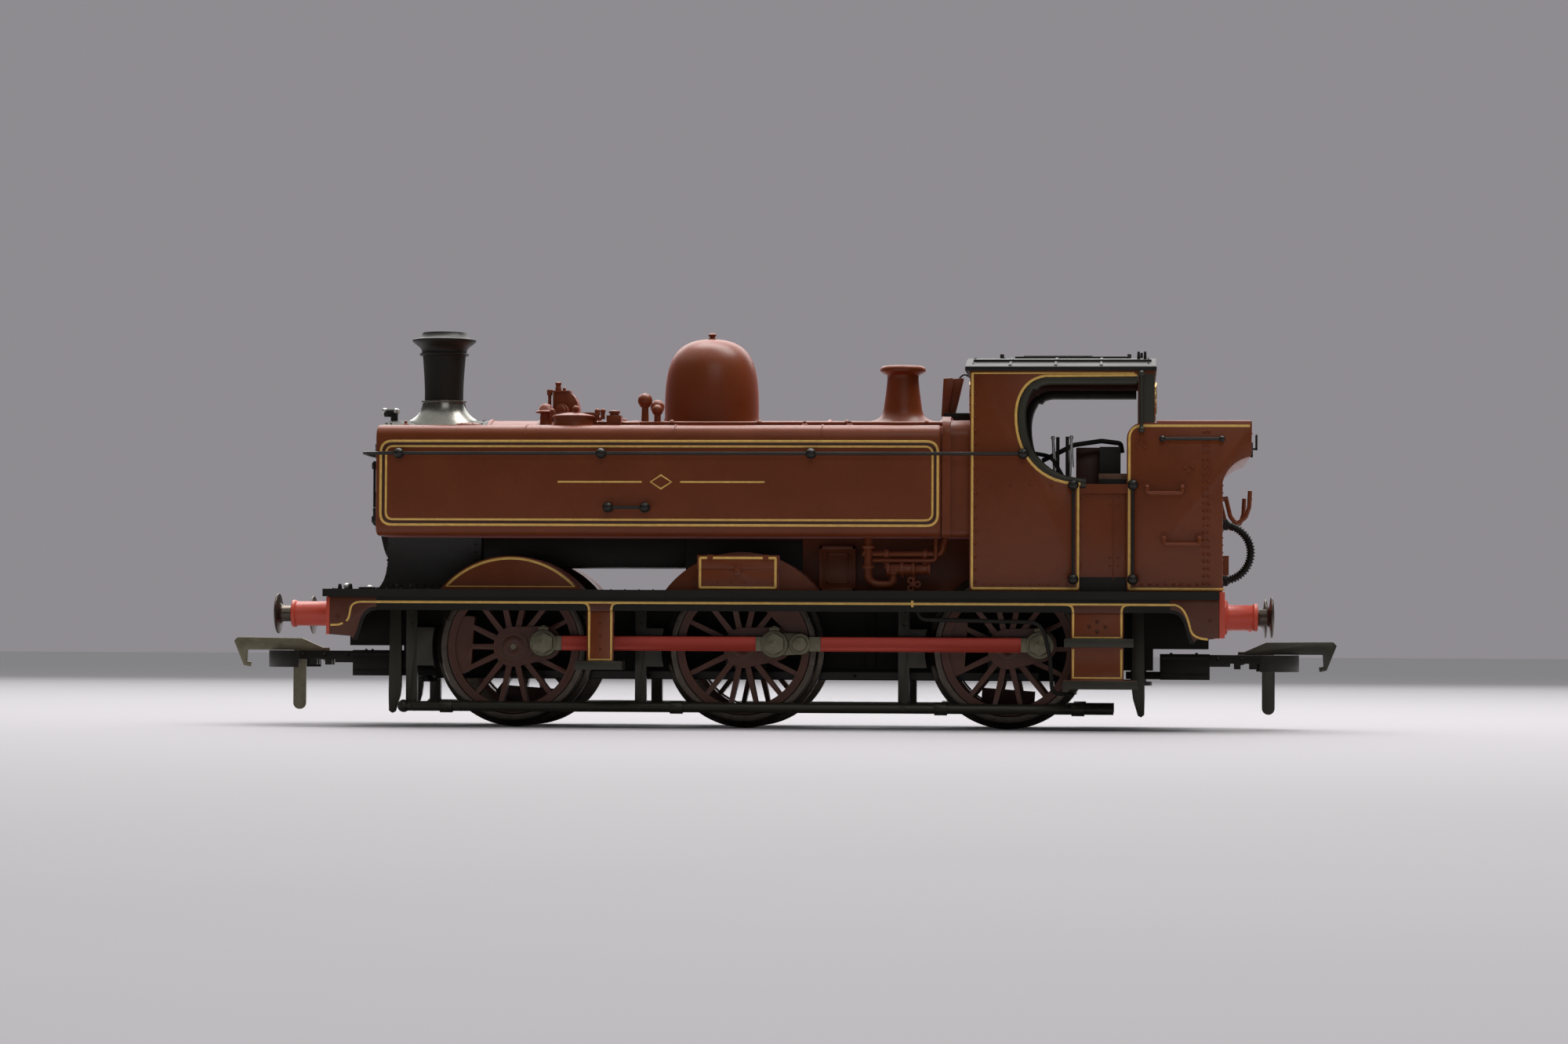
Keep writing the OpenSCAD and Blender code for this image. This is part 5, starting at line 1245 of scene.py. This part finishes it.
def build_wheels():
    """Makes the wheel centres, tyres and axle ends."""
    for place, x in AXLES.items():
        body = place + "_wheelset"
        eased_copy(place + "_wheels", finish("wheel"), 0.07, 1)
        bm = bmesh.new()
        for side, way in ((-1, "-y"), (1, "y")):
            turn = math.radians(CRANK_TURN[side])
            pin = (x + CRANK * math.cos(turn), side * 10.0, AXLE_Z + CRANK * math.sin(turn))
            lathe(bm, [(1.55, -0.2), (1.95, -0.2), (1.95, 0.12), (1.55, 0.12), (1.55, -0.2)],
                  (x, side * 10.05, AXLE_Z), way, 32)
            lathe(bm, [(7.35, -0.5), (7.75, -0.5), (7.75, 0.06), (7.35, 0.06), (7.35, -0.5)],
                  (x, side * 9.9, AXLE_Z), way, 72)
            lathe(bm, [(1.0, -0.2), (1.75, -0.2), (1.75, 0.1), (1.0, 0.1), (1.0, -0.2)], pin, way, 24)
        piece(bm, body + "_bosses", finish("wheel"), body)

        bm = bmesh.new()
        for side, way in ((-1, "-y"), (1, "y")):
            tread = [(8.25, 0.05), (9.7, 0.05), (9.95, 0.14), (10.0, 0.3), (9.97, 0.5), (9.7, 0.68),
                     (9.42, 0.78), (9.27, 0.95), (9.24, 2.5), (9.12, 2.74), (8.95, 2.8), (8.45, 2.8),
                     (8.35, 2.72), (8.3, 2.55), (8.3, 0.1), (8.25, 0.05)]
            lathe(bm, tread, (x, side * 7.2, AXLE_Z), way, 96)
        piece(bm, body + "_tyres", finish("tyre"), body, (place + "_tyres",))
        paint_node(place + "_axle", finish("nickel"))
        bm = bmesh.new()
        for side, way in ((-1, "-y"), (1, "y")):
            end = [(0, -0.1), (1.45, -0.1), (1.45, 0.02), (1.3, 0.1), (0.5, 0.1), (0.3, -0.04),
                   (0, -0.08)]
            lathe(bm, end, (x, side * 10.0, AXLE_Z), way, 28)
        piece(bm, body + "_axle_ends", finish("wheel"), body)


def eye(bm, x, z, radius, side, cup=True):
    """One turned rod end with its oil cup."""
    inner = side * ROD_Y
    way = "-y" if side < 0 else "y"
    lathe(bm, [(0.83, 0), (radius, 0), (radius, 0.1), (radius + 0.02, 0.85), (radius - 0.12, 1.0),
               (1.28, 1.0), (1.22, 0.95), (0.83, 0.95), (0.83, 0)], (x, inner, z), way, 32)
    if cup:
        y = (side * 10.75, side * 11.4)
        block(bm, (x - 0.6, x + 0.6), (min(y), max(y)), (z + radius - 0.4, z + radius + 0.35))
        rod(bm, (x, side * 11.05, z + radius + 0.3), (x, side * 11.05, z + radius + 0.52), 0.28)


def build_rods():
    """Makes the coupling rods with their bright ends, pins and nuts."""
    for side, hand in ((-1, "left"), (1, "right")):
        turn = math.radians(CRANK_TURN[side])
        dx, z = CRANK * math.cos(turn), AXLE_Z + CRANK * math.sin(turn)
        front, centre, rear = (AXLES[k] + dx for k in ("front", "centre", "rear"))
        knuckle = centre + 3.2
        y0, y1 = sorted((side * 10.75, side * 11.35))
        way = "-y" if side < 0 else "y"
        for label, xs, body in (("front", (front + 1.5, centre - 1.5), hand + "_front_rod"),
                                ("rear", (knuckle + 1.8, rear - 1.5), hand + "_rear_rod")):
            bm = bmesh.new()
            block(bm, xs, (y0, y1), (z - 0.92, z + 0.92))
            soften(bm, 0.07)
            fluted = [face for face in bm.faces if abs(face.normal.y) > 0.9 and face.calc_area() > 5]
            bmesh.ops.inset_region(bm, faces=fluted, thickness=0.26, depth=0.0)
            for face in fluted:
                push = 0.14 if face.normal.y < 0 else -0.14
                bmesh.ops.translate(bm, vec=(0, push, 0), verts=face.verts)
            piece(bm, body + "_bar", finish("rod_red"), body, (body,))
        bm = bmesh.new()
        eye(bm, front, z, 1.7, side)
        eye(bm, centre, z, 1.75, side)
        inner = sorted((side * ROD_Y, side * 11.0))
        link = rounded([(centre, z - 1.4), (knuckle + 1.3, z - 1.3), (knuckle + 1.3, z + 1.3),
                        (centre, z + 1.4)], (0, 1.25, 1.25, 0), 8)
        prism(bm, link, *inner)
        lathe(bm, [(0, 0.4), (0.6, 0.4), (0.6, 1.05), (0.95, 1.05), (0.95, 1.4), (0.8, 1.5), (0, 1.5)],
              (knuckle, side * ROD_Y, z), way, 24)
        for x, end in ((front + 1.4, 1.0), (centre - 1.4, -1.0)):
            block(bm, sorted((x, x + end * 0.9)), sorted((side * 10.65, side * 11.45)), (z - 0.9, z + 0.9))
        piece(bm, hand + "_front_rod_ends", finish("nickel"), hand + "_front_rod",
              (), 0.04)
        bm = bmesh.new()
        eye(bm, rear, z, 1.75, side)
        lathe(bm, [(0.68, 0.54), (1.35, 0.54), (1.35, 0.92), (1.25, 1.0), (0.68, 1.0), (0.68, 0.54)],
              (knuckle, side * ROD_Y, z), way, 28)
        block(bm, (knuckle + 1.2, knuckle + 2.6), sorted((side * 11.1, side * 11.5)), (z - 0.9, z + 0.9))
        block(bm, (rear - 2.3, rear - 1.3), sorted((side * 10.65, side * 11.45)), (z - 0.9, z + 0.9))
        piece(bm, hand + "_rear_rod_ends", finish("nickel"), hand + "_rear_rod",
              (), 0.04)
        for place, x in (("front", front), ("centre", centre), ("rear", rear)):
            bm = bmesh.new()
            bmesh.ops.create_cone(bm, cap_ends=True, segments=6, radius1=1.42, radius2=1.42, depth=0.5,
                                  matrix=Matrix.Translation((x, side * 11.84, z)) @ AIM["y"])
            lathe(bm, [(0, 0.35), (0.62, 0.35), (0.62, 0.62), (0.5, 0.7), (0, 0.7)],
                  (x, side * 11.42, z), way, 20)
            piece(bm, hand + "_" + place + "_crank_nut", finish("nickel"), place + "_wheelset",
                  (), 0.05)


def build_drive():
    """Gives the chassis, motor, gears and wiring their finishes."""
    eased_copy("chassis_block", finish("black_matt"), 0.08)
    eased_copy("keeper_plate", finish("black_matt"), 0.08)
    for node, kind in (("axle_bearings", "wire"), ("chassis_screws", "wire"), ("motor", "wire"),
                       ("pickup_strips", "wire"), ("circuit_board", "board"),
                       ("buffer_springs", "steel"), ("drive_gear", "gear"), ("idler_gear", "gear"),
                       ("worm_shaft", "brass")):
        paint_node(node, finish(kind))
    bm = bmesh.new()
    for x in (-40.0, -25.5, -18.0, -11.0, 5.0, 12.0, 20.0, 36.5):
        block(bm, (x - 0.6, x + 0.6), (-6.4, -5.95), (7.6, 16.2))
    for x in (-44.6, -15.0, 16.0, 40.0):
        rod(bm, (x, -6.0, 12.0), (x, -6.5, 12.0), 0.7)
    # Springs and their hangers over each axle
    for x in AXLES.values():
        for k in range(5):
            half, low = 4.2 - k * 0.7, 15.9 - k * 0.3
            block(bm, (x - half, x + half), (-6.9, -5.9), (low, low + 0.3))
    mirrored(bm)
    piece(bm, "frame_stiffeners", finish("black_matt"), "root", (), 0.05)


def build_buffers():
    """Makes the buffer housings and their sprung heads."""
    bm = bmesh.new()
    for x, tip, way in ((FRONT_BEAM_X, 5.2, "-x"), (REAR_BEAM_X, 4.13, "x")):
        profile = [(1.06, -0.05), (2.15, -0.05), (2.15, 0.3), (2.0, 0.38), (1.62, 0.5), (1.54, 0.9),
                   (1.52, tip - 0.7), (1.6, tip - 0.55), (1.7, tip - 0.45), (1.7, tip - 0.08),
                   (1.62, tip), (1.1, tip), (1.06, tip - 0.1), (1.06, -0.05)]
        lathe(bm, profile, (x, -BUFFER_Y, BUFFER_Z), way, 48)
        step = -0.3 if way == "-x" else 0.3
        for turn in (45, 135, 225, 315):
            t = math.radians(turn)
            bolt = (x + step, -BUFFER_Y + 1.85 * math.cos(t), BUFFER_Z + 1.85 * math.sin(t))
            rivets(bm, [bolt], way, 0.22)
    mirrored(bm)
    piece(bm, "buffer_sockets", finish("red"), "root", ("buffer_housings",))
    for end, face, way in (("front", -62.66, "x"), ("rear", 62.15, "-x")):
        for hand, y in (("left", -BUFFER_Y), ("right", BUFFER_Y)):
            name = end + "_" + hand + "_buffer"
            bm = bmesh.new()
            profile = [(0, 0), (0.9, 0.015), (1.8, 0.09), (2.35, 0.2), (2.5, 0.28), (2.53, 0.36),
                       (2.48, 0.44), (2.3, 0.5), (1.5, 0.6), (1.15, 0.75), (1.0, 1.0), (1.0, 5.2),
                       (0, 5.2)]
            lathe(bm, profile, (face, y, BUFFER_Z), way, 48)
            piece(bm, name + "_turned", finish("tyre"), name, (name,))


def build_couplings():
    """Makes the tension couplings and their lifting hooks."""
    for end in ("front", "rear"):
        sign = -1 if end == "front" else 1
        eased_copy(end + "_coupling", finish("black"), 0.07)
        eased_copy(end + "_hook", finish("nickel" if end == "front" else "olive_black"),
                   0.05)
        bm = bmesh.new()
        for x in (49.6, 52.8):
            rivets(bm, [(sign * x, y, 9.5) for y in (-2.2, 2.2)], "z", 0.2)
        for y, way in ((-1.3, "-y"), (1.3, "y")):
            rivets(bm, [(sign * x, y, 8.86) for x in (55.4, 58.4, 61.2)], way, 0.24)
        for side in (-1, 1):
            for z in (6.7, 8.8):
                block(bm, sorted((sign * 48.4, sign * 54.2)), sorted((side * 2.9, side * 3.12)),
                      (z, z + 0.3))
        piece(bm, end + "_coupling_pins", finish("black"), end + "_coupling")


def build_running_gear():
    """Makes the brakes, injectors, panel doors and drain pipes."""
    eased_copy("brake_gear", finish("olive_black"), 0.07)
    bm = bmesh.new()
    for x in AXLES.values():
        rivets(bm, [(x - 12.95, -9.6, z) for z in (12.8, 14.4)], "-y", 0.25)
        rod(bm, (x - 12.95, -11.6, BRAKE_ROD_Z), (x - 12.95, -9.2, BRAKE_ROD_Z), 0.34)
        block(bm, (x - 13.9, x - 12.0), (-11.25, -10.55), (2.05, 3.0))
    for x in (-41.0, -12.0, 21.0, 38.0):
        rod(bm, (x - 0.8, -10.9, BRAKE_ROD_Z), (x + 0.8, -10.9, BRAKE_ROD_Z), 0.8)
    mirrored(bm)
    piece(bm, "brake_pins", finish("olive_black"), "root", (), 0.05)

    bm = bmesh.new()
    y = -12.4
    feed = rounded([(12.0, y, 23.9), (12.0, y, 17.9), (15.1, y, 17.9), (15.1, y, 19.5)],
                   (0, 1.5, 1.5, 0), 8, False)
    tube(bm, feed, 0.5, False, 3)
    for z in (22.4, 19.9):
        rod(bm, (12.0, y, z), (12.0, y, z + 0.35), 0.8, None, 18)
    rod(bm, (15.1, y, 19.2), (15.1, y, 19.5), 0.8, None, 18)
    for x0, x1, r in ((14.3, 14.7, 0.9), (14.7, 17.4, 0.7), (16.0, 16.4, 0.95), (17.4, 17.8, 0.9),
                      (17.8, 19.4, 0.6), (19.4, 19.7, 0.8)):
        rod(bm, (x0, y, 19.8), (x1, y, 19.8), r, None, 20)
    tube(bm, rounded([(11.3, -12.0, 21.7), (21.0, -12.0, 21.7), (21.6, -12.0, 23.9)],
                     (0, 0.7, 0), 5, False), 0.42, False, 3)
    tube(bm, rounded([(12.6, -12.8, 20.9), (20.4, -12.8, 20.9), (20.4, -12.8, 23.9)],
                     (0, 0.5, 0), 5, False), 0.24)
    for x in (14.0, 18.8):
        rod(bm, (x, -12.0, 21.7), (x + 0.5, -12.0, 21.7), 0.66, None, 18)
        rod(bm, (x + 0.25, -12.3, 19.8), (x + 0.25, -12.0, 21.7), 0.34, None, 12)
    rod(bm, (17.6, y, 17.3), (17.6, y, 19.8), 0.3)
    for turn in (0, 120, 240):
        t = math.radians(turn)
        at = (17.6 + 0.55 * math.cos(t), y - 0.5, 17.95 + 0.55 * math.sin(t))
        lathe(bm, [(0.2, -0.14), (0.45, -0.14), (0.45, 0.14), (0.2, 0.14), (0.2, -0.14)], at, "-y", 14)
    rod(bm, (17.6, y - 0.8, 17.95), (17.6, y, 17.95), 0.3)
    # Panel door with its frame
    block(bm, (5.6, 10.2), (-8.4, -7.8), (17.12, 22.8))
    for x0, x1, z0, z1 in ((5.6, 10.2, 22.4, 22.8), (5.6, 10.2, 17.12, 17.5), (5.6, 6.0, 17.12, 22.8),
                           (9.8, 10.2, 17.12, 22.8), (6.5, 9.3, 21.7, 21.9), (6.5, 9.3, 18.1, 18.3),
                           (6.5, 6.7, 18.1, 21.9), (9.1, 9.3, 18.1, 21.9)):
        block(bm, (x0, x1), (-8.62, -8.3), (z0, z1))
    mirrored(bm)
    piece(bm, "injector_pipes", finish("maroon"), "root", ("injectors",), 0.03)

    # Pipe that drops from the footplate to the rear steps
    bm = bmesh.new()
    tube(bm, rounded([(17.9, -15.2, 16.0), (18.6, -15.2, 13.6), (33.6, -15.2, 13.3), (34.6, -15.2, 9.0),
                      (34.9, -15.2, 4.6), (37.5, -14.6, 4.4)], (0, 1.2, 2.2, 2.0, 1.0, 0), 6, False), 0.26)
    mirrored(bm)
    piece(bm, "drain_pipes", finish("black"), "root")


def build_rails():
    """Makes the handrails with turned knobs."""
    bm = bmesh.new()
    y, z = -16.4, 34.0
    knob = [(0, -0.05), (0.62, -0.05), (0.6, 0.12), (0.36, 0.22), (0.3, 0.4)] + [
        (r, 0.95 + h) for r, h in arc(0, 0, 0.68, -60, 90, 10)[:-1]] + [(0, 1.63)]
    arch = [(-50.8, 8.32 * math.sin(t), BARREL_Z + 8.32 * math.cos(t))
            for t in (math.radians(-61.3 + 122.6 * k / 28) for k in range(29))]
    corner = rounded([(31.25, y, z), (-50.8, y, z), (-50.8, -7.4, z)], (0, 0.9, 0), 6, False)
    tube(bm, corner, 0.22, False, 2)
    tube(bm, [(-20.1, y, 27.3), (-15.5, y, 27.3)], 0.22)
    for x, height in ((-46.35, z), (-21.01, z), (5.09, z), (31.25, z), (-20.1, 27.3), (-15.5, 27.3)):
        lathe(bm, knob, (x, -SIDE_Y, height), "-y", 18)
    for x in (37.42, 44.71):
        rod(bm, (x, -16.2, 18.6), (x, -16.2, 30.2), 0.2)
        for height in (18.6, 30.2):
            lathe(bm, knob, (x, -SIDE_Y + 0.2, height), "-y", 18)
    tube(bm, [(48.0, -16.1, 35.87), (55.9, -16.1, 35.87)], 0.2)
    for x in (48.3, 55.6):
        rod(bm, (x, -15.3, 35.87), (x, -16.1, 35.87), 0.28)
        ball(bm, (x, -16.1, 35.87), 0.4)
    mirrored(bm)
    tube(bm, arch, 0.22)
    for turn in (-50, 0, 50):
        t = math.radians(turn)
        lathe(bm, [(0, 0), (0.42, 0), (0.3, 0.2), (0.26, 0.3), (0.42, 0.4), (0.42, 0.8), (0, 0.9)],
              (-50.2, 8.32 * math.sin(t), BARREL_Z + 8.32 * math.cos(t)), "-x", 16)
    piece(bm, "handrails_turned", finish("wire"), "root", ("handrails",))


def build_hoses():
    """Makes the ribbed hose, the lamp irons and the bright studs."""
    bm = bmesh.new()
    x, y, z = 55.95, -4.2, 22.2
    bow = [(x + 3.5 * math.cos(t), y, z + 3.5 * math.sin(t))
           for t in (math.radians(-90 + 180 * k / 30) for k in range(31))]
    tube(bm, bow, 0.4)
    for k in range(1, 30):
        t = math.radians(-90 + 6 * k)
        bmesh.ops.create_cone(
            bm, cap_ends=True, segments=14, radius1=0.54, radius2=0.54, depth=0.18,
            matrix=Matrix.Translation((x + 3.5 * math.cos(t), y, z + 3.5 * math.sin(t)))
            @ Matrix.Rotation(-t, 4, "Y"))
    for height in (25.7, 18.7):
        lathe(bm, [(0, 0), (0.95, 0), (0.95, 0.3), (0.7, 0.4), (0.7, 0.85), (0.6, 0.95), (0, 0.95)],
              (55.7, y, height), "x", 20)
    piece(bm, "brake_hoses", finish("black"), "root", ("vacuum_hose",))

    # Bracket on the smokebox, caps on the deck and irons on the bunker
    bm = bmesh.new()
    block(bm, (-50.2, -49.4), (-0.45, 0.45), (38.8, 40.0))
    rod(bm, (-51.1, 0, 39.95), (-49.5, 0, 39.95), 0.55)
    for y in (-8.0, 8.0):
        rod(bm, (-51.7, y, 16.9), (-51.7, y, 17.45), 1.1)
    for y in (-9.5, 9.5):
        block(bm, (59.85, 60.1), (y - 0.5, y + 0.5), (34.8, 36.7))
        block(bm, (59.0, 60.1), (y - 0.5, y + 0.5), (34.8, 35.05))
    piece(bm, "lamp_brackets", finish("black"), "root", ("lamp_irons",), 0.04)

    bm = bmesh.new()
    for y in (-0.35, 0.35):
        ball(bm, (-51.0, y, 40.2), 0.36)
        ball(bm, (-49.5, y, 40.15), 0.36)
    for y in (-8.0, 8.0):
        ball(bm, (-54.3, y, 17.5), 0.45)
        rod(bm, (-54.3, y, 17.0), (-54.3, y, 17.4), 0.2, None, 10)
    piece(bm, "front_studs", finish("steel"), "root")


# ---- the add-on ----

class LOCO_OT_stage(bpy.types.Operator):
    """Makes the floor, the lights, the sky and the camera."""

    bl_idname = "loco.stage"
    bl_label = "Studio stage"

    def execute(self, context):
        build_stage()
        return {"FINISHED"}


class LOCO_OT_tanks(bpy.types.Operator):
    """Makes both side tanks with their lining."""

    bl_idname = "loco.tanks"
    bl_label = "Side tanks"

    def execute(self, context):
        build_tanks()
        return {"FINISHED"}


class LOCO_OT_smokebox(bpy.types.Operator):
    """Makes the smokebox, its door and the boiler."""

    bl_idname = "loco.smokebox"
    bl_label = "Smokebox and boiler"

    def execute(self, context):
        build_smokebox()
        return {"FINISHED"}


class LOCO_OT_mountings(bpy.types.Operator):
    """Makes the chimney, dome, valve, top feed and fillers."""

    bl_idname = "loco.mountings"
    bl_label = "Boiler mountings"

    def execute(self, context):
        build_mountings()
        return {"FINISHED"}


class LOCO_OT_cab(bpy.types.Operator):
    """Makes the cab, its roof, windows, lining and rivets."""

    bl_idname = "loco.cab"
    bl_label = "Cab and roof"

    def execute(self, context):
        build_cab()
        return {"FINISHED"}


class LOCO_OT_cab_inside(bpy.types.Operator):
    """Makes the backhead with its pipes, levers and seats."""

    bl_idname = "loco.cab_inside"
    bl_label = "Cab interior"

    def execute(self, context):
        build_cab_inside()
        return {"FINISHED"}


class LOCO_OT_bunker(bpy.types.Operator):
    """Makes the bunker with its lining, rivets and coal."""

    bl_idname = "loco.bunker"
    bl_label = "Bunker and coal"

    def execute(self, context):
        build_bunker()
        return {"FINISHED"}


class LOCO_OT_footplate(bpy.types.Operator):
    """Makes the footplate, beams, splashers, boxes and steps."""

    bl_idname = "loco.footplate"
    bl_label = "Footplate and steps"

    def execute(self, context):
        build_footplate()
        return {"FINISHED"}


class LOCO_OT_wheels(bpy.types.Operator):
    """Makes the wheel centres, tyres and axle ends."""

    bl_idname = "loco.wheels"
    bl_label = "Wheels"

    def execute(self, context):
        build_wheels()
        return {"FINISHED"}


class LOCO_OT_rods(bpy.types.Operator):
    """Makes the coupling rods, pins and nuts."""

    bl_idname = "loco.rods"
    bl_label = "Coupling rods"

    def execute(self, context):
        build_rods()
        return {"FINISHED"}


class LOCO_OT_drive(bpy.types.Operator):
    """Gives the chassis, motor and gears their finishes."""

    bl_idname = "loco.drive"
    bl_label = "Chassis and drive"

    def execute(self, context):
        build_drive()
        return {"FINISHED"}


class LOCO_OT_buffers(bpy.types.Operator):
    """Makes the buffer housings and their sprung heads."""

    bl_idname = "loco.buffers"
    bl_label = "Buffers"

    def execute(self, context):
        build_buffers()
        return {"FINISHED"}


class LOCO_OT_couplings(bpy.types.Operator):
    """Makes the tension couplings and their lifting hooks."""

    bl_idname = "loco.couplings"
    bl_label = "Couplings"

    def execute(self, context):
        build_couplings()
        return {"FINISHED"}


class LOCO_OT_running_gear(bpy.types.Operator):
    """Makes the brakes, injectors and pipes."""

    bl_idname = "loco.running_gear"
    bl_label = "Brakes and injectors"

    def execute(self, context):
        build_running_gear()
        return {"FINISHED"}


class LOCO_OT_rails(bpy.types.Operator):
    """Makes the handrails with turned knobs."""

    bl_idname = "loco.rails"
    bl_label = "Handrails"

    def execute(self, context):
        build_rails()
        return {"FINISHED"}


class LOCO_OT_hoses(bpy.types.Operator):
    """Makes the ribbed hose and the lamp irons."""

    bl_idname = "loco.hoses"
    bl_label = "Hose and lamp irons"

    def execute(self, context):
        build_hoses()
        return {"FINISHED"}


OPERATORS = (
    LOCO_OT_stage,
    LOCO_OT_tanks,
    LOCO_OT_smokebox,
    LOCO_OT_mountings,
    LOCO_OT_cab,
    LOCO_OT_cab_inside,
    LOCO_OT_bunker,
    LOCO_OT_footplate,
    LOCO_OT_wheels,
    LOCO_OT_rods,
    LOCO_OT_drive,
    LOCO_OT_buffers,
    LOCO_OT_couplings,
    LOCO_OT_running_gear,
    LOCO_OT_rails,
    LOCO_OT_hoses,
)


class LOCO_PT_panel(bpy.types.Panel):
    """Lists the pieces of the locomotive."""

    bl_idname = "LOCO_PT_panel"
    bl_label = "Locomotive"
    bl_space_type = "VIEW_3D"
    bl_region_type = "UI"
    bl_category = "Locomotive"

    def draw(self, context):
        for group in ("loco_paints", "loco_sizes", "loco_studio"):
            settings = getattr(context.scene, group)
            column = self.layout.column()
            for name in settings.__annotations__:
                column.prop(settings, name)
        self.layout.operator("loco.stage")
        self.layout.operator("loco.tanks")
        self.layout.operator("loco.smokebox")
        self.layout.operator("loco.mountings")
        self.layout.operator("loco.cab")
        self.layout.operator("loco.cab_inside")
        self.layout.operator("loco.bunker")
        self.layout.operator("loco.footplate")
        self.layout.operator("loco.wheels")
        self.layout.operator("loco.rods")
        self.layout.operator("loco.drive")
        self.layout.operator("loco.buffers")
        self.layout.operator("loco.couplings")
        self.layout.operator("loco.running_gear")
        self.layout.operator("loco.rails")
        self.layout.operator("loco.hoses")


CLASSES = [LocoPaints, LocoSizes, LocoStudio, *OPERATORS, LOCO_PT_panel]


def register():
    """Adds the settings, the operators and the panel."""
    for item in CLASSES:
        bpy.utils.register_class(item)
    bpy.types.Scene.loco_paints = bpy.props.PointerProperty(type=LocoPaints)
    bpy.types.Scene.loco_sizes = bpy.props.PointerProperty(type=LocoSizes)
    bpy.types.Scene.loco_studio = bpy.props.PointerProperty(type=LocoStudio)


def unregister():
    """Removes what register added."""
    for name in ("loco_paints", "loco_sizes", "loco_studio"):
        delattr(bpy.types.Scene, name)
    for item in reversed(CLASSES):
        bpy.utils.unregister_class(item)


def main():
    """Builds every piece in order."""
    register()
    bpy.ops.loco.stage()
    bpy.ops.loco.tanks()
    bpy.ops.loco.smokebox()
    bpy.ops.loco.mountings()
    bpy.ops.loco.cab()
    bpy.ops.loco.cab_inside()
    bpy.ops.loco.bunker()
    bpy.ops.loco.footplate()
    bpy.ops.loco.wheels()
    bpy.ops.loco.rods()
    bpy.ops.loco.drive()
    bpy.ops.loco.buffers()
    bpy.ops.loco.couplings()
    bpy.ops.loco.running_gear()
    bpy.ops.loco.rails()
    bpy.ops.loco.hoses()


if __name__ == "__main__":
    main()
